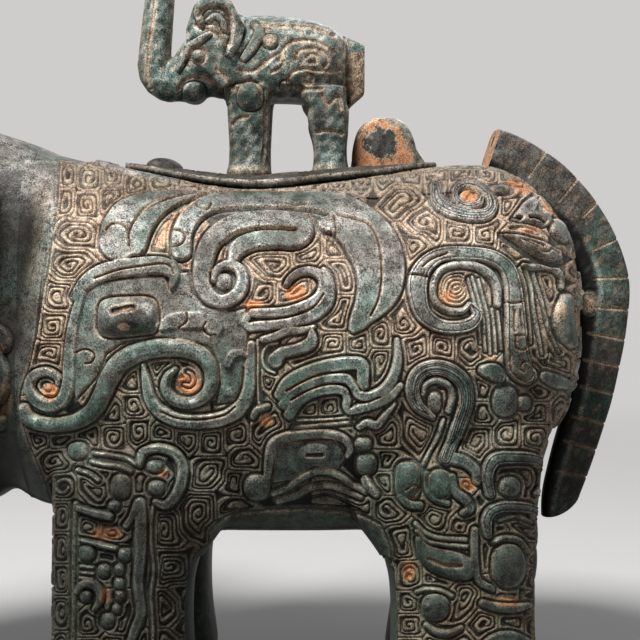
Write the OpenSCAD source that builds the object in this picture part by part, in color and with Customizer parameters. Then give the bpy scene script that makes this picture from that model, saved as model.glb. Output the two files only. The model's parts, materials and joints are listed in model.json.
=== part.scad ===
// Cast bronze wine vessel in the form of a standing elephant, with a lid whose knob is a
// smaller elephant. Millimetres, +Z up, head towards -X, origin under the middle of the vessel.

/* [Body] */
// Length of the barrel from chest to rump
body_len = 125.5; // [110:0.5:140]
// Width of the barrel at its widest
body_w = 82; // [74:0.5:90]
// Height of the back at the lowest point of the saddle
back_z = 121.4; // [112:0.2:130]
// Height of the belly's underside above the ground
belly_z = 39; // [34:0.5:44]
// Thickness of the cast walls
wall = 2.6; // [2:0.1:3.2]
// Squareness of the barrel's cross-section, where 2 is an ellipse
squareness = 2.7; // [2.4:0.1:3]
// Side of the square bronze spacers set in the belly's floor
spacer_side = 7; // [5:0.5:9]

// Height of the main cast bands above the wall
relief_rise = 1.2; // [0.8:0.1:1.6]

/* [Head] */
// Reach of the head and trunk in front of the chest
head_reach = 74; // [68:0.5:80]
// Width of the neck where the head joins the chest
neck_w = 66; // [60:0.5:70]
// Depth of the head shell from the chest to the brow's front
head_len = 59; // [57:0.5:61]
// Rise of the crown above the back
crown_rise = 16; // [12:0.2:20]
// Outer radius of the trunk at its bend
trunk_r = 10; // [9:0.1:11]
// Outer radius of the trunk near its mouth
trunk_tip_r = 8.6; // [7.8:0.1:9.4]
// Radius of the bore along the trunk
trunk_bore_r = 5; // [4.5:0.1:5.4]
// Radius of the trunk's bend, on its centre line
trunk_bend_r = 14; // [12.5:0.5:16]
// Height of the trunk's mouth above the ground
trunk_top_z = 157; // [148:1:162]
// Backward lean of the trunk from its bend to its mouth
trunk_lean = 4; // [2:0.5:6]
// Width over the two ears
ear_span = 107; // [100:0.5:112]
// Height of the ears' tops above the back
ear_rise = 18; // [14:0.5:22]
// Thickness of an ear
ear_t = 4; // [3:0.2:5]
// Radius of a tusk at its root
tusk_r = 3.6; // [3:0.1:4.2]
// Length of a tusk
tusk_len = 23; // [18:0.5:26]

/* [Legs] */
// Fore-and-aft width of a front leg's shaft
front_leg_w = 33.5; // [30:0.5:36]
// Fore-and-aft width of a rear leg's shaft
rear_leg_w = 35; // [31:0.5:37]
// Width of every leg's shaft across the vessel
leg_d = 29; // [26:0.5:31]
// Extra width of a foot on each side of its shaft
foot_flare = 2; // [1:0.25:3]
// Distance of the legs' outer faces from the middle plane
leg_out = 40.5; // [38.5:0.5:42]
// Distance from the chest to the front legs' front edge
front_leg_in = 1.5; // [0:0.5:4]
// Distance from the rump to the rear legs' back edge
rear_leg_in = 12; // [10:0.5:14]
// Thickness of a foot's sole
sole_t = 3; // [2.4:0.2:4]

/* [Tail] */
// Reach of the tail behind the rump
tail_reach = 14.5; // [13:0.5:16]
// Thickness of the tail in its own curve
tail_t = 10.6; // [9.5:0.2:11.5]
// Width of the tail across the vessel
tail_w = 9; // [7:0.5:11]
// Number of ringed segments along the tail
tail_segments = 13; // [9:1:15]
// Width of the grooves between the segments
tail_groove = 0.8; // [0.6:0.1:1]

/* [Lid] */
// Length of the lid
lid_len = 78; // [74:0.5:82]
// Width of the lid
lid_w = 40; // [38:0.5:44]
// Thickness of the lid
lid_t = 1.9; // [1.6:0.1:2.6]
// Distance from the chest to the lid's middle
lid_from_chest = 52.6; // [50:0.2:56]
// Gap between the lid and the back that it rests on
lid_gap = 0.3; // [0.2:0.05:0.5]
// Length of the mouth in the back
mouth_len = 64; // [58:0.5:68]
// Width of the mouth
mouth_w = 29; // [26:0.5:31]
// Depth of the locating ring below the lid
ring_depth = 5; // [4:0.25:7]
// Thickness of the locating ring
ring_t = 2.2; // [1.8:0.1:2.6]
// Clearance between the locating ring and the mouth
ring_clear = 0.4; // [0.3:0.05:0.6]
// Half the length of the half-round lug behind the knob
lug_r = 8.1; // [7:0.1:9]
// Width of the lug across the lid
lug_w = 9; // [7:0.5:11]
// Height of the lug above the middle of its foot
lug_tall = 12.3; // [11:0.1:14]

/* [Knob] */
// Length of the knob elephant's torso
knob_len = 29.5; // [27:0.5:32]
// Width of the knob's torso
knob_w = 23; // [20:0.5:25]
// Height of the knob's back above the saddle
knob_back = 42.6; // [40:0.2:45]
// Height of the knob's belly above the saddle
knob_belly = 20; // [18:0.2:22]
// Fore-and-aft width of the knob's legs
knob_leg_w = 11; // [9.6:0.2:12]
// Width of the knob's legs across the lid
knob_leg_d = 8.4; // [7:0.2:9]
// Radius of the knob's trunk
knob_trunk_r = 4.2; // [3.6:0.1:4.8]
// Height of the knob's trunk above the saddle
knob_trunk_top = 50.6; // [48:0.2:53]
// Thickness of the knob's ears
knob_ear_t = 2.4; // [2:0.1:3]

/* [Hidden] */

bronze_dark = [0.20, 0.25, 0.21];
bronze_green = [0.24, 0.34, 0.29];
bronze_brown = [0.42, 0.31, 0.21];
fired_clay = [0.66, 0.42, 0.28];

LEFT = -1;
RIGHT = 1;
body_points = 36;
limb_points = 20;
tail_points = 12;
body_steps = 22;
cavity_steps = 14;
head_steps = 11;
leg_steps = 12;
ball_fn = 12;

// Places along the vessel that follow from the driving sizes
chest_x = head_reach - (head_reach + body_len + tail_reach) / 2;
rump_x = chest_x + body_len;
lid_x = chest_x + lid_from_chest;
trunk_x = chest_x - head_reach + trunk_r;
trunk_low_z = belly_z + 7 + trunk_r + 1;
tall = 60;

// A smooth curve through rows of [place, value, value, ...], read at one place
function row_at(rows, p, i = 0) =
    (i >= len(rows) - 2 || p < rows[i + 1][0]) ? i : row_at(rows, p, i + 1);
function rise(rows, a, b, k) = (rows[b][k] - rows[a][k]) / (rows[b][0] - rows[a][0]);
function slope(rows, i, k) = rise(rows, max(i - 1, 0), min(i + 1, len(rows) - 1), k);
function curve(rows, p, k) =
    let (i = row_at(rows, p), h = rows[i + 1][0] - rows[i][0], t = (p - rows[i][0]) / h)
    (2 * t^3 - 3 * t^2 + 1) * rows[i][k] + (t^3 - 2 * t^2 + t) * h * slope(rows, i, k)
    + (3 * t^2 - 2 * t^3) * rows[i + 1][k] + (t^3 - t^2) * h * slope(rows, i + 1, k);

// A rounded outline of half-width w and half-height h round its own middle
function signed_power(v, e) = sign(v) * pow(abs(v), e);
function rounded(w, h, n, points) = [for (i = [0 : points - 1]) let (a = 360 * i / points)
    [w * signed_power(cos(a), 2 / n), h * signed_power(sin(a), 2 / n)]];

// One ring of points across the vessel at x, from zb to zt
function slice(x, zb, zt, w, points = body_points) =
    [for (p = rounded(w, (zt - zb) / 2, squareness, points)) [x, p[0], (zb + zt) / 2 + p[1]]];

// One level ring at height z, round the point [x, y]
function level(z, x, y, w, d) = [for (p = rounded(w, d, squareness, limb_points)) [x + p[0], y + p[1], z]];

// The solid that runs through a list of rings, one convex link at a time
module loft(rings) {
    n = len(rings[0]);
    ends = [[for (k = [0 : n - 1]) k], [for (k = [n - 1 : -1 : 0]) n + k]];
    sides = [for (k = [0 : n - 1]) [k, n + k, n + (k + 1) % n, (k + 1) % n]];
    for (i = [0 : len(rings) - 2]) hull() polyhedron(concat(rings[i], rings[i + 1]), concat(ends, sides));
}

// The same for rings that tilt along the way, as one closed skin
module sweep(rings) {
    n = len(rings[0]);
    m = len(rings) - 1;
    side = [for (i = [0 : m - 1], k = [0 : n - 1]) let (a = i * n, b = a + n, j = (k + 1) % n)
        each [[a + k, b + k, b + j], [a + k, b + j, a + j]]];
    polyhedron([for (r = rings) each r],
        concat([[for (k = [0 : n - 1]) k]], [[for (k = [n - 1 : -1 : 0]) m * n + k]], side));
}

// A round tube in the middle plane through stations of [x, z, radius]
function heading(path, i) =
    let (a = path[max(i - 1, 0)], b = path[min(i + 1, len(path) - 1)]) atan2(b[0] - a[0], b[1] - a[1]);
function hoop(x, z, across, wide, turn, n, points) = [for (p = rounded(across, wide, n, points))
    [x + p[0] * cos(turn), p[1], z - p[0] * sin(turn)]];
module tube(path, points = limb_points)
    sweep([for (i = [0 : len(path) - 1])
        hoop(path[i][0], path[i][1], path[i][2], path[i][2], heading(path, i), 2, points)]);

// A chain of balls through stations of [x, y, z, radius]
module chain(path)
    for (i = [0 : len(path) - 2]) hull() for (j = [i, i + 1])
        translate([path[j][0], path[j][1], path[j][2]]) sphere(r = path[j][3], $fn = ball_fn);

// Rows along the barrel: share of its length, rise of the underside above belly_z,
// rise of the back above back_z, and half-width as a share of the widest
chest_under = 3.5;
chest_over = 7.2;
barrel_rows = [[0, chest_under, chest_over, neck_w / body_w], [0.072, 2.2, 5.1, 0.9],
    [0.167, 0.9, 2.9, 0.975], [0.295, 0.2, 0.6, 1], [0.375, 0, 0, 1], [0.518, 0, 1.6, 1],
    [0.645, 0.6, 2.9, 1], [0.757, 3, 4.6, 0.975], [0.837, 6.5, 4.2, 0.915],
    [0.9, 11, 0.2, 0.81], [0.948, 22, -6.4, 0.65], [0.98, 32.5, -14.5, 0.46],
    [0.995, 40, -23, 0.25], [1, 45, -29, 0.1]];
// Stations bunched towards the rump, where the barrel closes
function bunched(i, steps, end) = end * sin(90 * i / steps);

module barrel(grow = 0, from = 0, end = 1, steps = body_steps, points = body_points)
    loft([for (i = [0 : steps]) let (u = from + bunched(i, steps, end - from))
        slice(chest_x + u * body_len, belly_z + curve(barrel_rows, u, 1) - grow,
              back_z + curve(barrel_rows, u, 2) + grow,
              body_w / 2 * curve(barrel_rows, u, 3) + grow, points)]);
// The back alone, for what is seated on it
saddle_from = 0.04;
saddle_end = 0.84;
module saddle(grow) barrel(grow, saddle_from, saddle_end);

// An upright column with the plan of the lid or the mouth
module oval(length, width, low, high)
    translate([lid_x, 0, low]) linear_extrude(high - low)
        polygon(rounded(length / 2, width / 2, 2, 48));

// Relief: the main bands of the cast ornament. Each is a list of [x behind the chest, z above belly_z,
// half-width], as an eye level with the middle of the flank sees it on a plane beside the vessel,
// drawn for a barrel of drawn_len by drawn_tall.
drawn_len = 125.5;
drawn_tall = 82.4;
stretch = [body_len / drawn_len, (back_z - belly_z) / drawn_tall];
eye_far = 330;
eye = [62.4, 49.5];
relief_from = 12;
relief_to = body_w / 2 + 4;
relief_fn = 6;
relief_points = 28;
flank_plane = 38;
leaf = [[19, 67, 5], [20.5, 71, 4.2], [24.5, 74, 2.6], [31, 76.3, 1.2]];
brow = [[9, 55, 1], [14, 59.5, 1.9], [25, 61.3, 2], [29.8, 59.8, 1.6]];
long_eye = [[17.8, 50, 4.5], [22.2, 50.4, 4.5]];
jaw = [[5, 26.5, 1.6], [12, 29.4, 1.9], [16, 36.4, 2.1], [21, 41.8, 2.2], [29, 43.4, 2], [36.4, 41.5, 1.8],
    [38.5, 36.4, 1.6], [35.3, 31.7, 1.3], [29.8, 32.2, 1.3], [28.6, 36.5, 1]];
lip = [[24.2, 36, 1], [26.6, 29.8, 1.4], [32, 27.4, 1.6], [41, 27.9, 1.6], [46, 32.5, 1.5], [47.2, 44, 1]];
great_horn = [[31.8, 64.6, 2.2], [32.4, 69.5, 2.3], [37, 74.2, 2], [45, 75.4, 1.8], [60, 75.2, 2], [66, 73, 3.6],
    [71, 69.4, 4.9], [74.6, 64, 6.2], [75.6, 59, 5.4], [74.8, 54.5, 4.4], [72, 49.5, 1.4]];
horn_scroll = [[58.5, 68.8, 3.4], [51, 68.9, 4], [44, 67.5, 3.6], [38.6, 64.5, 2.6], [36.5, 59, 2.1], [38, 54.8, 1.8],
    [42, 53.9, 1.5], [45, 57, 1.5], [43.8, 60.8, 1.2]];
hook = [[47, 49.6, 2], [55, 50, 2.3], [61, 52.2, 2.6], [64, 56.4, 1.6], [61.5, 59.9, 1.1], [56, 58.6, 0.8]];
long_beast = [[54.6, 31.4, 2.4], [59, 35.6, 2.8], [65, 37, 3], [70, 37.2, 2.6], [71.6, 33.4, 1.6], [76.4, 34, 1.4],
    [79.5, 41, 1]];
rump_coil = [[104.6, 53.6, 1.4], [103.6, 60.6, 1.6], [96, 64, 1.5], [87, 62.6, 1.8], [84, 57, 2.2], [85.4, 50.8, 1.8],
    [91.5, 48, 1.4], [96.6, 50, 1.2]];
thigh_hook = [[85.5, 29.4, 1], [82.9, 34, 1.6], [87.2, 39, 1.7], [93.4, 36.4, 1.7], [94.4, 31, 1.6]];
flank_bands = [leaf, brow, long_eye, jaw, lip, great_horn, horn_scroll, hook, long_beast, rump_coil,
    thigh_hook];

module band(points)
    for (i = [0 : len(points) - 2]) hull() for (p = [points[i], points[i + 1]])
        translate([p[0] - eye[0], p[1] - eye[1]]) circle(r = p[2], $fn = relief_fn);
// The bands carried along the eye's sight lines, from near the middle plane to outside the wall
module sight_lines(bands, side, plane) {
    near = (eye_far - relief_from) / (eye_far - plane);
    far = (eye_far - relief_to) / (eye_far - plane);
    mirror([0, side == RIGHT ? 1 : 0, 0])
        translate([chest_x + eye[0] * stretch[0], -relief_from, belly_z + eye[1] * stretch[1]])
            rotate([90, 0, 0]) linear_extrude(relief_to - relief_from, scale = far / near)
                scale([near * stretch[0], near * stretch[1]]) for (b = bands) band(b);
}
module flank_relief() for (side = [LEFT, RIGHT]) difference() {
    intersection() {
        sight_lines(flank_bands, side, flank_plane);
        barrel(relief_rise, steps = cavity_steps, points = relief_points);
    }
    front_form(side);
    rear_form(side);
}

// Belly: hollow barrel, open to the head in front and at the mouth above
cavity_end = 0.962;
spacer_places = [for (dx = [-15, 15], side = [LEFT, RIGHT]) [lid_x + dx, side * 10]];
module spacer_columns()
    for (p = spacer_places) translate([p[0] - spacer_side / 2, p[1] - spacer_side / 2, belly_z - wall])
        cube([spacer_side, spacer_side, 4 * wall]);
module belly_cavity() {
    barrel(-wall, 0, cavity_end, cavity_steps, limb_points);
    loft([for (x = [chest_x - 1, chest_x])
        slice(x, belly_z + chest_under + wall, back_z + chest_over - wall, neck_w / 2 - wall, limb_points)]);
}
module belly_wall() difference() {
    union() {
        barrel();
        flank_relief();
    }
    belly_cavity();
    oval(mouth_len, mouth_w, back_z - tall / 2, back_z + tall);
}
// Hairline along the middle, where the mould's halves met: each half is a solid of its own
seam_t = 0.02;
module mould_seam()
    translate([chest_x - 1, -seam_t / 2, 0]) cube([body_len + 2, seam_t, back_z + tall]);
module belly_shell() color(bronze_dark) difference() {
    belly_wall();
    spacer_columns();
    mould_seam();
}
module wall_spacers() color(bronze_brown) intersection() {
    belly_wall();
    spacer_columns();
}

// Head: rows of share of its length, rise of the jaw above belly_z, top above back_z, half-width
head_rows = [[0, chest_under, chest_over, neck_w / 2], [0.13, 4.6, 10.6, neck_w / 2 - 3],
    [0.26, 5.6, crown_rise - 3, neck_w / 2 - 3.6], [0.4, 6.4, crown_rise, neck_w / 2 - 2.6],
    [0.55, 6.6, crown_rise - 0.6, neck_w / 2 - 3.2], [0.69, 6.8, crown_rise - 6.4, neck_w / 2 - 6.4],
    [0.82, 7.4, crown_rise - 19, neck_w / 2 - 11.4], [0.93, 9, crown_rise - 35, neck_w / 2 - 17.6],
    [1, 12, crown_rise - 50, neck_w / 2 - 24]];
module head_form(grow = 0, end = 1, points = body_points)
    loft([for (i = [0 : head_steps]) let (u = end * i / head_steps)
        slice(chest_x - u * head_len, belly_z + curve(head_rows, u, 1) - grow,
              back_z + curve(head_rows, u, 2) + grow, curve(head_rows, u, 3) + grow, points)]);
// The head's bands, placed as the flank's are
head_plane = 33;
head_brow = [[-53, 71, 1.1], [-46, 74.4, 1.5], [-39, 73.4, 1.6], [-35, 68, 1.4], [-34.4, 62, 0.9]];
head_eye = [[-47, 63.6, 3.2], [-41.8, 63.6, 3]];
head_scroll = [[-39, 17.6, 1.3], [-29, 18.4, 1.5], [-22, 23, 1.6], [-19.6, 30, 1.6], [-23, 36.4, 1.5],
    [-29.6, 37.4, 1.4], [-33.6, 33, 1.2], [-32.4, 28, 1]];
head_bands = [head_brow, head_eye, head_scroll];
module head_relief() for (side = [LEFT, RIGHT]) intersection() {
    sight_lines(head_bands, side, head_plane);
    head_form(relief_rise, points = relief_points);
}
head_cavity_end = 0.9;
module head_shell() color(bronze_dark) difference() {
    union() {
        head_form();
        head_relief();
    }
    head_form(-wall, head_cavity_end, limb_points);
    trunk_bore();
}

// Trunk: runs forward out of the face, bends up and leans back to its open mouth
trunk_root = 26;
bend_steps = 6;
rise_steps = 6;
rise_from_z = trunk_low_z + trunk_bend_r;
function trunk_path() = concat(
    [[trunk_x + trunk_root, trunk_low_z + 7, trunk_r + 2],
     [trunk_x + trunk_bend_r + 4, trunk_low_z + 2, trunk_r + 1]],
    [for (i = [0 : bend_steps]) let (a = 90 * i / bend_steps)
        [trunk_x + trunk_bend_r * (1 - sin(a)), trunk_low_z + trunk_bend_r * (1 - cos(a)),
         trunk_r + 1 * (1 - i / bend_steps)]],
    [for (i = [1 : rise_steps]) let (t = i < rise_steps ? i / rise_steps : 1)
        [trunk_x + trunk_lean * t^2, rise_from_z + t * (trunk_top_z - rise_from_z),
         trunk_r + t * (trunk_tip_r - trunk_r) + lip_flare * max(0, t - 0.8) / 0.2]]);
lip_flare = 1.2;
bore_points = 16;
module trunk_form() tube(trunk_path());
module trunk_bore() {
    tube(concat([for (p = trunk_path()) [p[0], p[1], trunk_bore_r]],
        [[trunk_x + trunk_lean + 0.2, trunk_top_z + 3, trunk_bore_r]]), bore_points);
}
module trunk_spout() color(bronze_green) difference() {
    trunk_form();
    head_form();
    trunk_bore();
}

// Ears: cupped flaps that flare out from the sides of the head
ear_root_x = chest_x - 14;
ear_root_y = neck_w / 2 - 5;
ear_depth = 22;
// Stations of [share of the flare, share of the depth, lower end below the top, upper end below the top]
ear_rows = [[-0.15, 0, 44, 21], [0.2, 0.08, 49, 12], [0.5, 0.3, 50, 4], [0.75, 0.58, 46, 0.6],
            [0.92, 0.83, 38, 2.6], [1, 1, 28, 10]];
function ear_y(t) = ear_root_y + t * (ear_span / 2 - ear_t / 2 - ear_root_y);
module ear(side) difference() {
    for (i = [0 : len(ear_rows) - 2]) hull() for (r = [ear_rows[i], ear_rows[i + 1]], k = [2, 3])
        translate([ear_root_x - r[1] * ear_depth, side * ear_y(r[0]), back_z + ear_rise - ear_t / 2 - r[k]])
            sphere(d = ear_t, $fn = ball_fn);
    head_form();
    barrel();
}
module left_ear() color(bronze_dark) ear(LEFT);
module right_ear() color(bronze_dark) ear(RIGHT);

// Tusks: short and curved, beside the root of the trunk
tusk_x = chest_x - 48;
tusk_y = 16;
tusk_z = trunk_low_z - 1;
tusk_sweep = 70;
tusk_steps = 6;
module tusk(side) difference() {
    chain([for (i = [0 : tusk_steps]) let (t = i / tusk_steps, r = tusk_len / (tusk_sweep * PI / 180))
        [tusk_x - r * sin(tusk_sweep * t), side * (tusk_y + 2.4 * t),
         tusk_z + r * (1 - cos(tusk_sweep * t)), tusk_r * (1 - 0.72 * t)]]);
    head_form();
    head_relief();
    trunk_form();
}
module left_tusk() color(bronze_brown) tusk(LEFT);
module right_tusk() color(bronze_brown) tusk(RIGHT);

// Legs: rows of height, then how far the front, back, inner and outer faces stand out of the shaft
knee = belly_z - 7;
function leg_rows(front, back) = [
    [0, foot_flare, foot_flare, foot_flare, foot_flare * 0.6],
    [4, foot_flare * 0.8, foot_flare * 0.8, foot_flare * 0.8, foot_flare * 0.5],
    [12, 0.2, 0.4, 0.2, 0], [knee - 8, 0, 0, 0, 0], [knee, 0.2 * front, 0.2 * back, 0.4, 0],
    [knee + 6, 0.8 * front, 0.8 * back, 1.6, 0], [belly_z + 3, 1.7 * front, 1.7 * back, 4, 0],
    [belly_z + 7, 3 * front, 3 * back, 7, -0.2], [belly_z + 16, 4 * front, 4 * back, 9, -0.6],
    [belly_z + 23, 4 * front, 4 * back, 9, -1.4], [belly_z + 32, 3 * front, 3 * back, 8, -5]];
leg_top = belly_z + 32;
module leg_form(side, front_x, shaft_w, front, back, inset, low) {
    rows = leg_rows(front, back);
    loft([for (i = [0 : leg_steps])
        let (z = low + (leg_top - low) * i / leg_steps,
             x0 = front_x - curve(rows, z, 1) + inset, x1 = front_x + shaft_w + curve(rows, z, 2) - inset,
             y0 = leg_out - leg_d - curve(rows, z, 3) + inset, y1 = leg_out + curve(rows, z, 4) - inset)
            level(z, (x0 + x1) / 2, side * (y0 + y1) / 2, (x1 - x0) / 2, (y1 - y0) / 2)]);
}
front_leg_x = chest_x + front_leg_in;
rear_leg_x = rump_x - rear_leg_in - rear_leg_w;
// How much more a leg spreads towards the belly than away from it at its top
arch_spread = 4;
away_spread = 0.15;
rear_spread = 1;
core_top = belly_z + 12;
module front_form(side, inset = 0, low = 0)
    leg_form(side, front_leg_x, front_leg_w, away_spread, arch_spread, inset, low);
module rear_form(side, inset = 0, low = 0)
    leg_form(side, rear_leg_x, rear_leg_w, arch_spread, rear_spread, inset, low);
module core_column(side) translate([chest_x, side < 0 ? -body_w : 0, 0]) cube([body_len, body_w, core_top]);
module front_left_leg() color(bronze_green) difference() {
    front_form(LEFT);
    barrel();
    head_form();
    core_form_front(LEFT);
}
module front_right_leg() color(bronze_green) difference() {
    front_form(RIGHT);
    barrel();
    head_form();
    core_form_front(RIGHT);
}
module rear_left_leg() color(bronze_green) difference() {
    rear_form(LEFT);
    barrel();
    core_form_rear(LEFT);
}
module rear_right_leg() color(bronze_green) difference() {
    rear_form(RIGHT);
    barrel();
    core_form_rear(RIGHT);
}

// Cores: the fired clay that stays inside the legs after casting
module core_form_front(side) intersection() {
    front_form(side, wall, sole_t);
    core_column(side);
}
module core_form_rear(side) intersection() {
    rear_form(side, wall, sole_t);
    core_column(side);
}
module front_core(side) color(fired_clay) difference() {
    core_form_front(side);
    barrel();
    head_form();
}
module rear_core(side) color(fired_clay) difference() {
    core_form_rear(side);
    barrel();
}

// Tail: a ringed blade that stands up behind the rump and sweeps down clear of the leg.
// Rows of share of the way down, then centre behind the rump and height above belly_z
tail_top = 93;
tail_in = tail_t / 2;
tail_rows = [[0, -20.5, tail_top, 1], [0.057, -14.8, tail_top - 2.2, 1], [0.154, -6.3, tail_top - 8.2, 1],
    [0.246, 0.4, tail_top - 15.5, 1], [0.332, 5.3, tail_top - 23.4, 1], [0.41, 8.3, tail_top - 31.2, 1],
    [0.456, tail_reach - tail_in, tail_top - 36.2, 1], [0.565, 8.1, tail_top - 47.8, 1],
    [0.702, 5.6, tail_top - 62.3, 1], [0.832, 1.7, tail_top - 75.8, 0.98], [0.939, -2, tail_top - 86.6, 0.84],
    [1, -5, tail_top - 92.4, 0.34]];
root_share = 0.3;
root_deep = 4.5;
function tail_at(u) = [rump_x + curve(tail_rows, u, 1), belly_z + curve(tail_rows, u, 2)];
function tail_heading(u) = let (a = tail_at(max(u - 0.02, 0)), b = tail_at(min(u + 0.02, 1)))
    atan2(b[0] - a[0], b[1] - a[1]);
// One ring of the tail; near the rump it reaches further in, to stand on the croup
function tail_ring(u, thin = 0) =
    let (thick = tail_t * curve(tail_rows, u, 3) - thin, turn = tail_heading(u),
         deep = u < root_share ? root_deep * sin(180 * u / root_share) : 0)
    hoop(tail_at(u)[0] + deep / 2 * cos(turn), tail_at(u)[1] - deep / 2 * sin(turn), (thick + deep) / 2,
         (tail_w - thin) / 2 * (1 - 0.3 * u), turn, 3.2, tail_points);
tail_pitch = 1 / tail_segments;
groove_share = tail_groove / 120;
groove_deep = 1;
module tail_form() {
    for (s = [0 : tail_segments - 1]) let (a = s * tail_pitch, b = (s + 1) * tail_pitch)
        loft([tail_ring(a + groove_share), tail_ring(b - groove_share)]);
    sweep([for (s = [0 : tail_segments - 1]) tail_ring((s + 0.5) * tail_pitch, groove_deep)]);
}
module tail() color(bronze_green) difference() {
    tail_form();
    barrel();
    peg_form();
}
// Peg: the tenon that ties the tail to the rump half way down
peg_r = 3;
peg_z = belly_z + 55;
peg_len = 8;
module peg_form() translate([rump_x - 3, 0, peg_z]) rotate([0, 90, 0]) cylinder(r = peg_r, h = peg_len, $fn = 32);
module tail_peg() color(bronze_brown) difference() {
    peg_form();
    barrel();
}

// Lid: a saddle-shaped oval plate, with a ring below that drops into the mouth
module lid_top() saddle(lid_gap + lid_t);
module lid_plate() color(bronze_brown) difference() {
    intersection() {
        oval(lid_len, lid_w, back_z - tall / 2, back_z + tall);
        lid_top();
    }
    saddle(lid_gap);
}
module lid_ring() color(bronze_brown) difference() {
    intersection() {
        oval(mouth_len - 2 * ring_clear, mouth_w - 2 * ring_clear, back_z - tall / 2, back_z + tall);
        saddle(lid_gap);
    }
    oval(mouth_len - 2 * (ring_clear + ring_t), mouth_w - 2 * (ring_clear + ring_t), back_z - tall, back_z + tall);
    saddle(-ring_depth);
}
// Lug: a solid half-round boss behind the knob, domed on all sides
lug_x = lid_x + 26;
lug_foot = back_z + 4.8;
lug_steps = 10;
lug_round = 2.6;
function lug_share(a) = pow(1 - pow(abs(a), lug_round), 1 / lug_round);
module lug_form() loft([for (i = [0 : lug_steps]) let (a = -0.99 * cos(180 * i / lug_steps), s = lug_share(a))
    slice(lug_x + a * lug_r, lug_foot - s * lug_tall, lug_foot + s * lug_tall, s * lug_w / 2, limb_points)]);
module lid_lug() color(bronze_brown) difference() {
    lug_form();
    lid_top();
}

// Knob: a smaller elephant that stands on the lid. Rows of share of the torso's length,
// belly and back below knob_back, and half-width as a share of the torso's
knob_x = lid_x - 10;
knob_girth = knob_back - knob_belly;
knob_rows = [[0, knob_girth - 3, 3, 0.72], [0.15, knob_girth - 0.4, 0.4, 0.92], [0.4, knob_girth, 0, 1],
    [0.7, knob_girth, 1, 1], [0.88, knob_girth - 1, 3, 0.9], [1, knob_girth - 5, 6.5, 0.6]];
knob_steps = 8;
module knob_barrel() loft([for (i = [0 : knob_steps]) let (u = i / knob_steps)
    slice(knob_x + u * knob_len - knob_len * 0.13, back_z + knob_back - curve(knob_rows, u, 1),
          back_z + knob_back - curve(knob_rows, u, 2), knob_w / 2 * curve(knob_rows, u, 3), limb_points)]);
knob_front_leg = knob_x + 2.4;
knob_rear_leg = knob_x + knob_len * 0.87 - knob_leg_w / 2 + 0.6;
// Heights above the saddle, and how much slimmer a leg is there
knob_leg_rows = [[-1, 0.6], [knob_belly - 6, 0.4], [knob_belly + 4, 0]];
module knob_leg(x, side) loft([for (r = knob_leg_rows)
    level(back_z + r[0], x, side * (knob_w - knob_leg_d) / 2, knob_leg_w / 2 - r[1], knob_leg_d / 2 - r[1] / 3)]);
module knob_torso_form() {
    knob_barrel();
    for (x = [knob_front_leg, knob_rear_leg], side = [LEFT, RIGHT]) knob_leg(x, side);
}
module knob_torso() color(bronze_green) difference() {
    knob_torso_form();
    lid_top();
}
// Head of the knob, as a chain of balls from the neck down to the mouth
knob_face_z = back_z + knob_back - 10;
module knob_head_form() chain([[knob_x, 0, knob_face_z + 2.2, 8.2], [knob_x - 5, 0, knob_face_z + 1.2, 8.6],
    [knob_x - 10, 0, knob_face_z - 2, 7.2], [knob_x - 14.6, 0, knob_face_z - 5.4, 5.2],
    [knob_x - 18, 0, knob_face_z - 7, 4]]);
module knob_head() color(bronze_green) difference() {
    knob_head_form();
    knob_torso_form();
}
knob_trunk_x = knob_x - 21.8;
knob_bend = 5;
knob_bend_steps = 4;
function knob_trunk_path() = concat(
    [for (i = [0 : knob_bend_steps]) let (a = 90 * i / knob_bend_steps)
        [knob_trunk_x + knob_bend * (1 - sin(a)), knob_face_z - 7 + knob_bend * (1 - cos(a)), knob_trunk_r]],
    [for (t = [0.3, 0.65, 1]) [knob_trunk_x + 1.8 * t,
        knob_face_z - 7 + knob_bend + t * (back_z + knob_trunk_top - knob_face_z + 7 - knob_bend),
        knob_trunk_r - 0.5 * t]]);
module knob_trunk() color(bronze_green) difference() {
    tube(knob_trunk_path(), bore_points);
    knob_head_form();
    knob_torso_form();
}
// Ears of the knob: rows of place along the ear, outward, lower end and upper end below the ear's top
knob_ear_rows = [[2, -4, 19, 10], [-0.6, -1, 19, 8], [-3.6, 0.9, 19, 2.4], [-7.2, 1.6, 17, 0.2],
                 [-10.6, 1, 15.6, 3], [-12.4, 0, 14, 8]];
knob_ear_x = knob_x + 0.8;
knob_ear_y = 10.4;
knob_ear_top = back_z + knob_back + 4;
module knob_ear(side) difference() {
    for (i = [0 : len(knob_ear_rows) - 2]) hull() for (r = [knob_ear_rows[i], knob_ear_rows[i + 1]], k = [2, 3])
        translate([knob_ear_x + r[0], side * (knob_ear_y + r[1]), knob_ear_top - knob_ear_t / 2 - r[k]])
            sphere(d = knob_ear_t, $fn = ball_fn);
    knob_head_form();
    knob_torso_form();
}
module knob_left_ear() color(bronze_green) knob_ear(LEFT);
module knob_right_ear() color(bronze_green) knob_ear(RIGHT);
// Tail of the knob: a slab that hangs from the croup
knob_tail_x = knob_x + knob_len * 0.87;
knob_tail_t = 5.2;
knob_tail_w = 5;
knob_tail_z = back_z + knob_back - 7;
knob_tail_drop = 16;
module knob_tail() color(bronze_brown) difference() {
    translate([0, knob_tail_w / 2, 0]) rotate([90, 0, 0]) linear_extrude(knob_tail_w)
        polygon([[knob_tail_x - 5, knob_tail_z + 3], [knob_tail_x + knob_tail_t, knob_tail_z],
            [knob_tail_x + knob_tail_t, knob_tail_z - knob_tail_drop + 4],
            [knob_tail_x + 0.6, knob_tail_z - knob_tail_drop], [knob_tail_x - 5, knob_tail_z - knob_tail_drop + 4]]);
    knob_torso_form();
}

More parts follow.
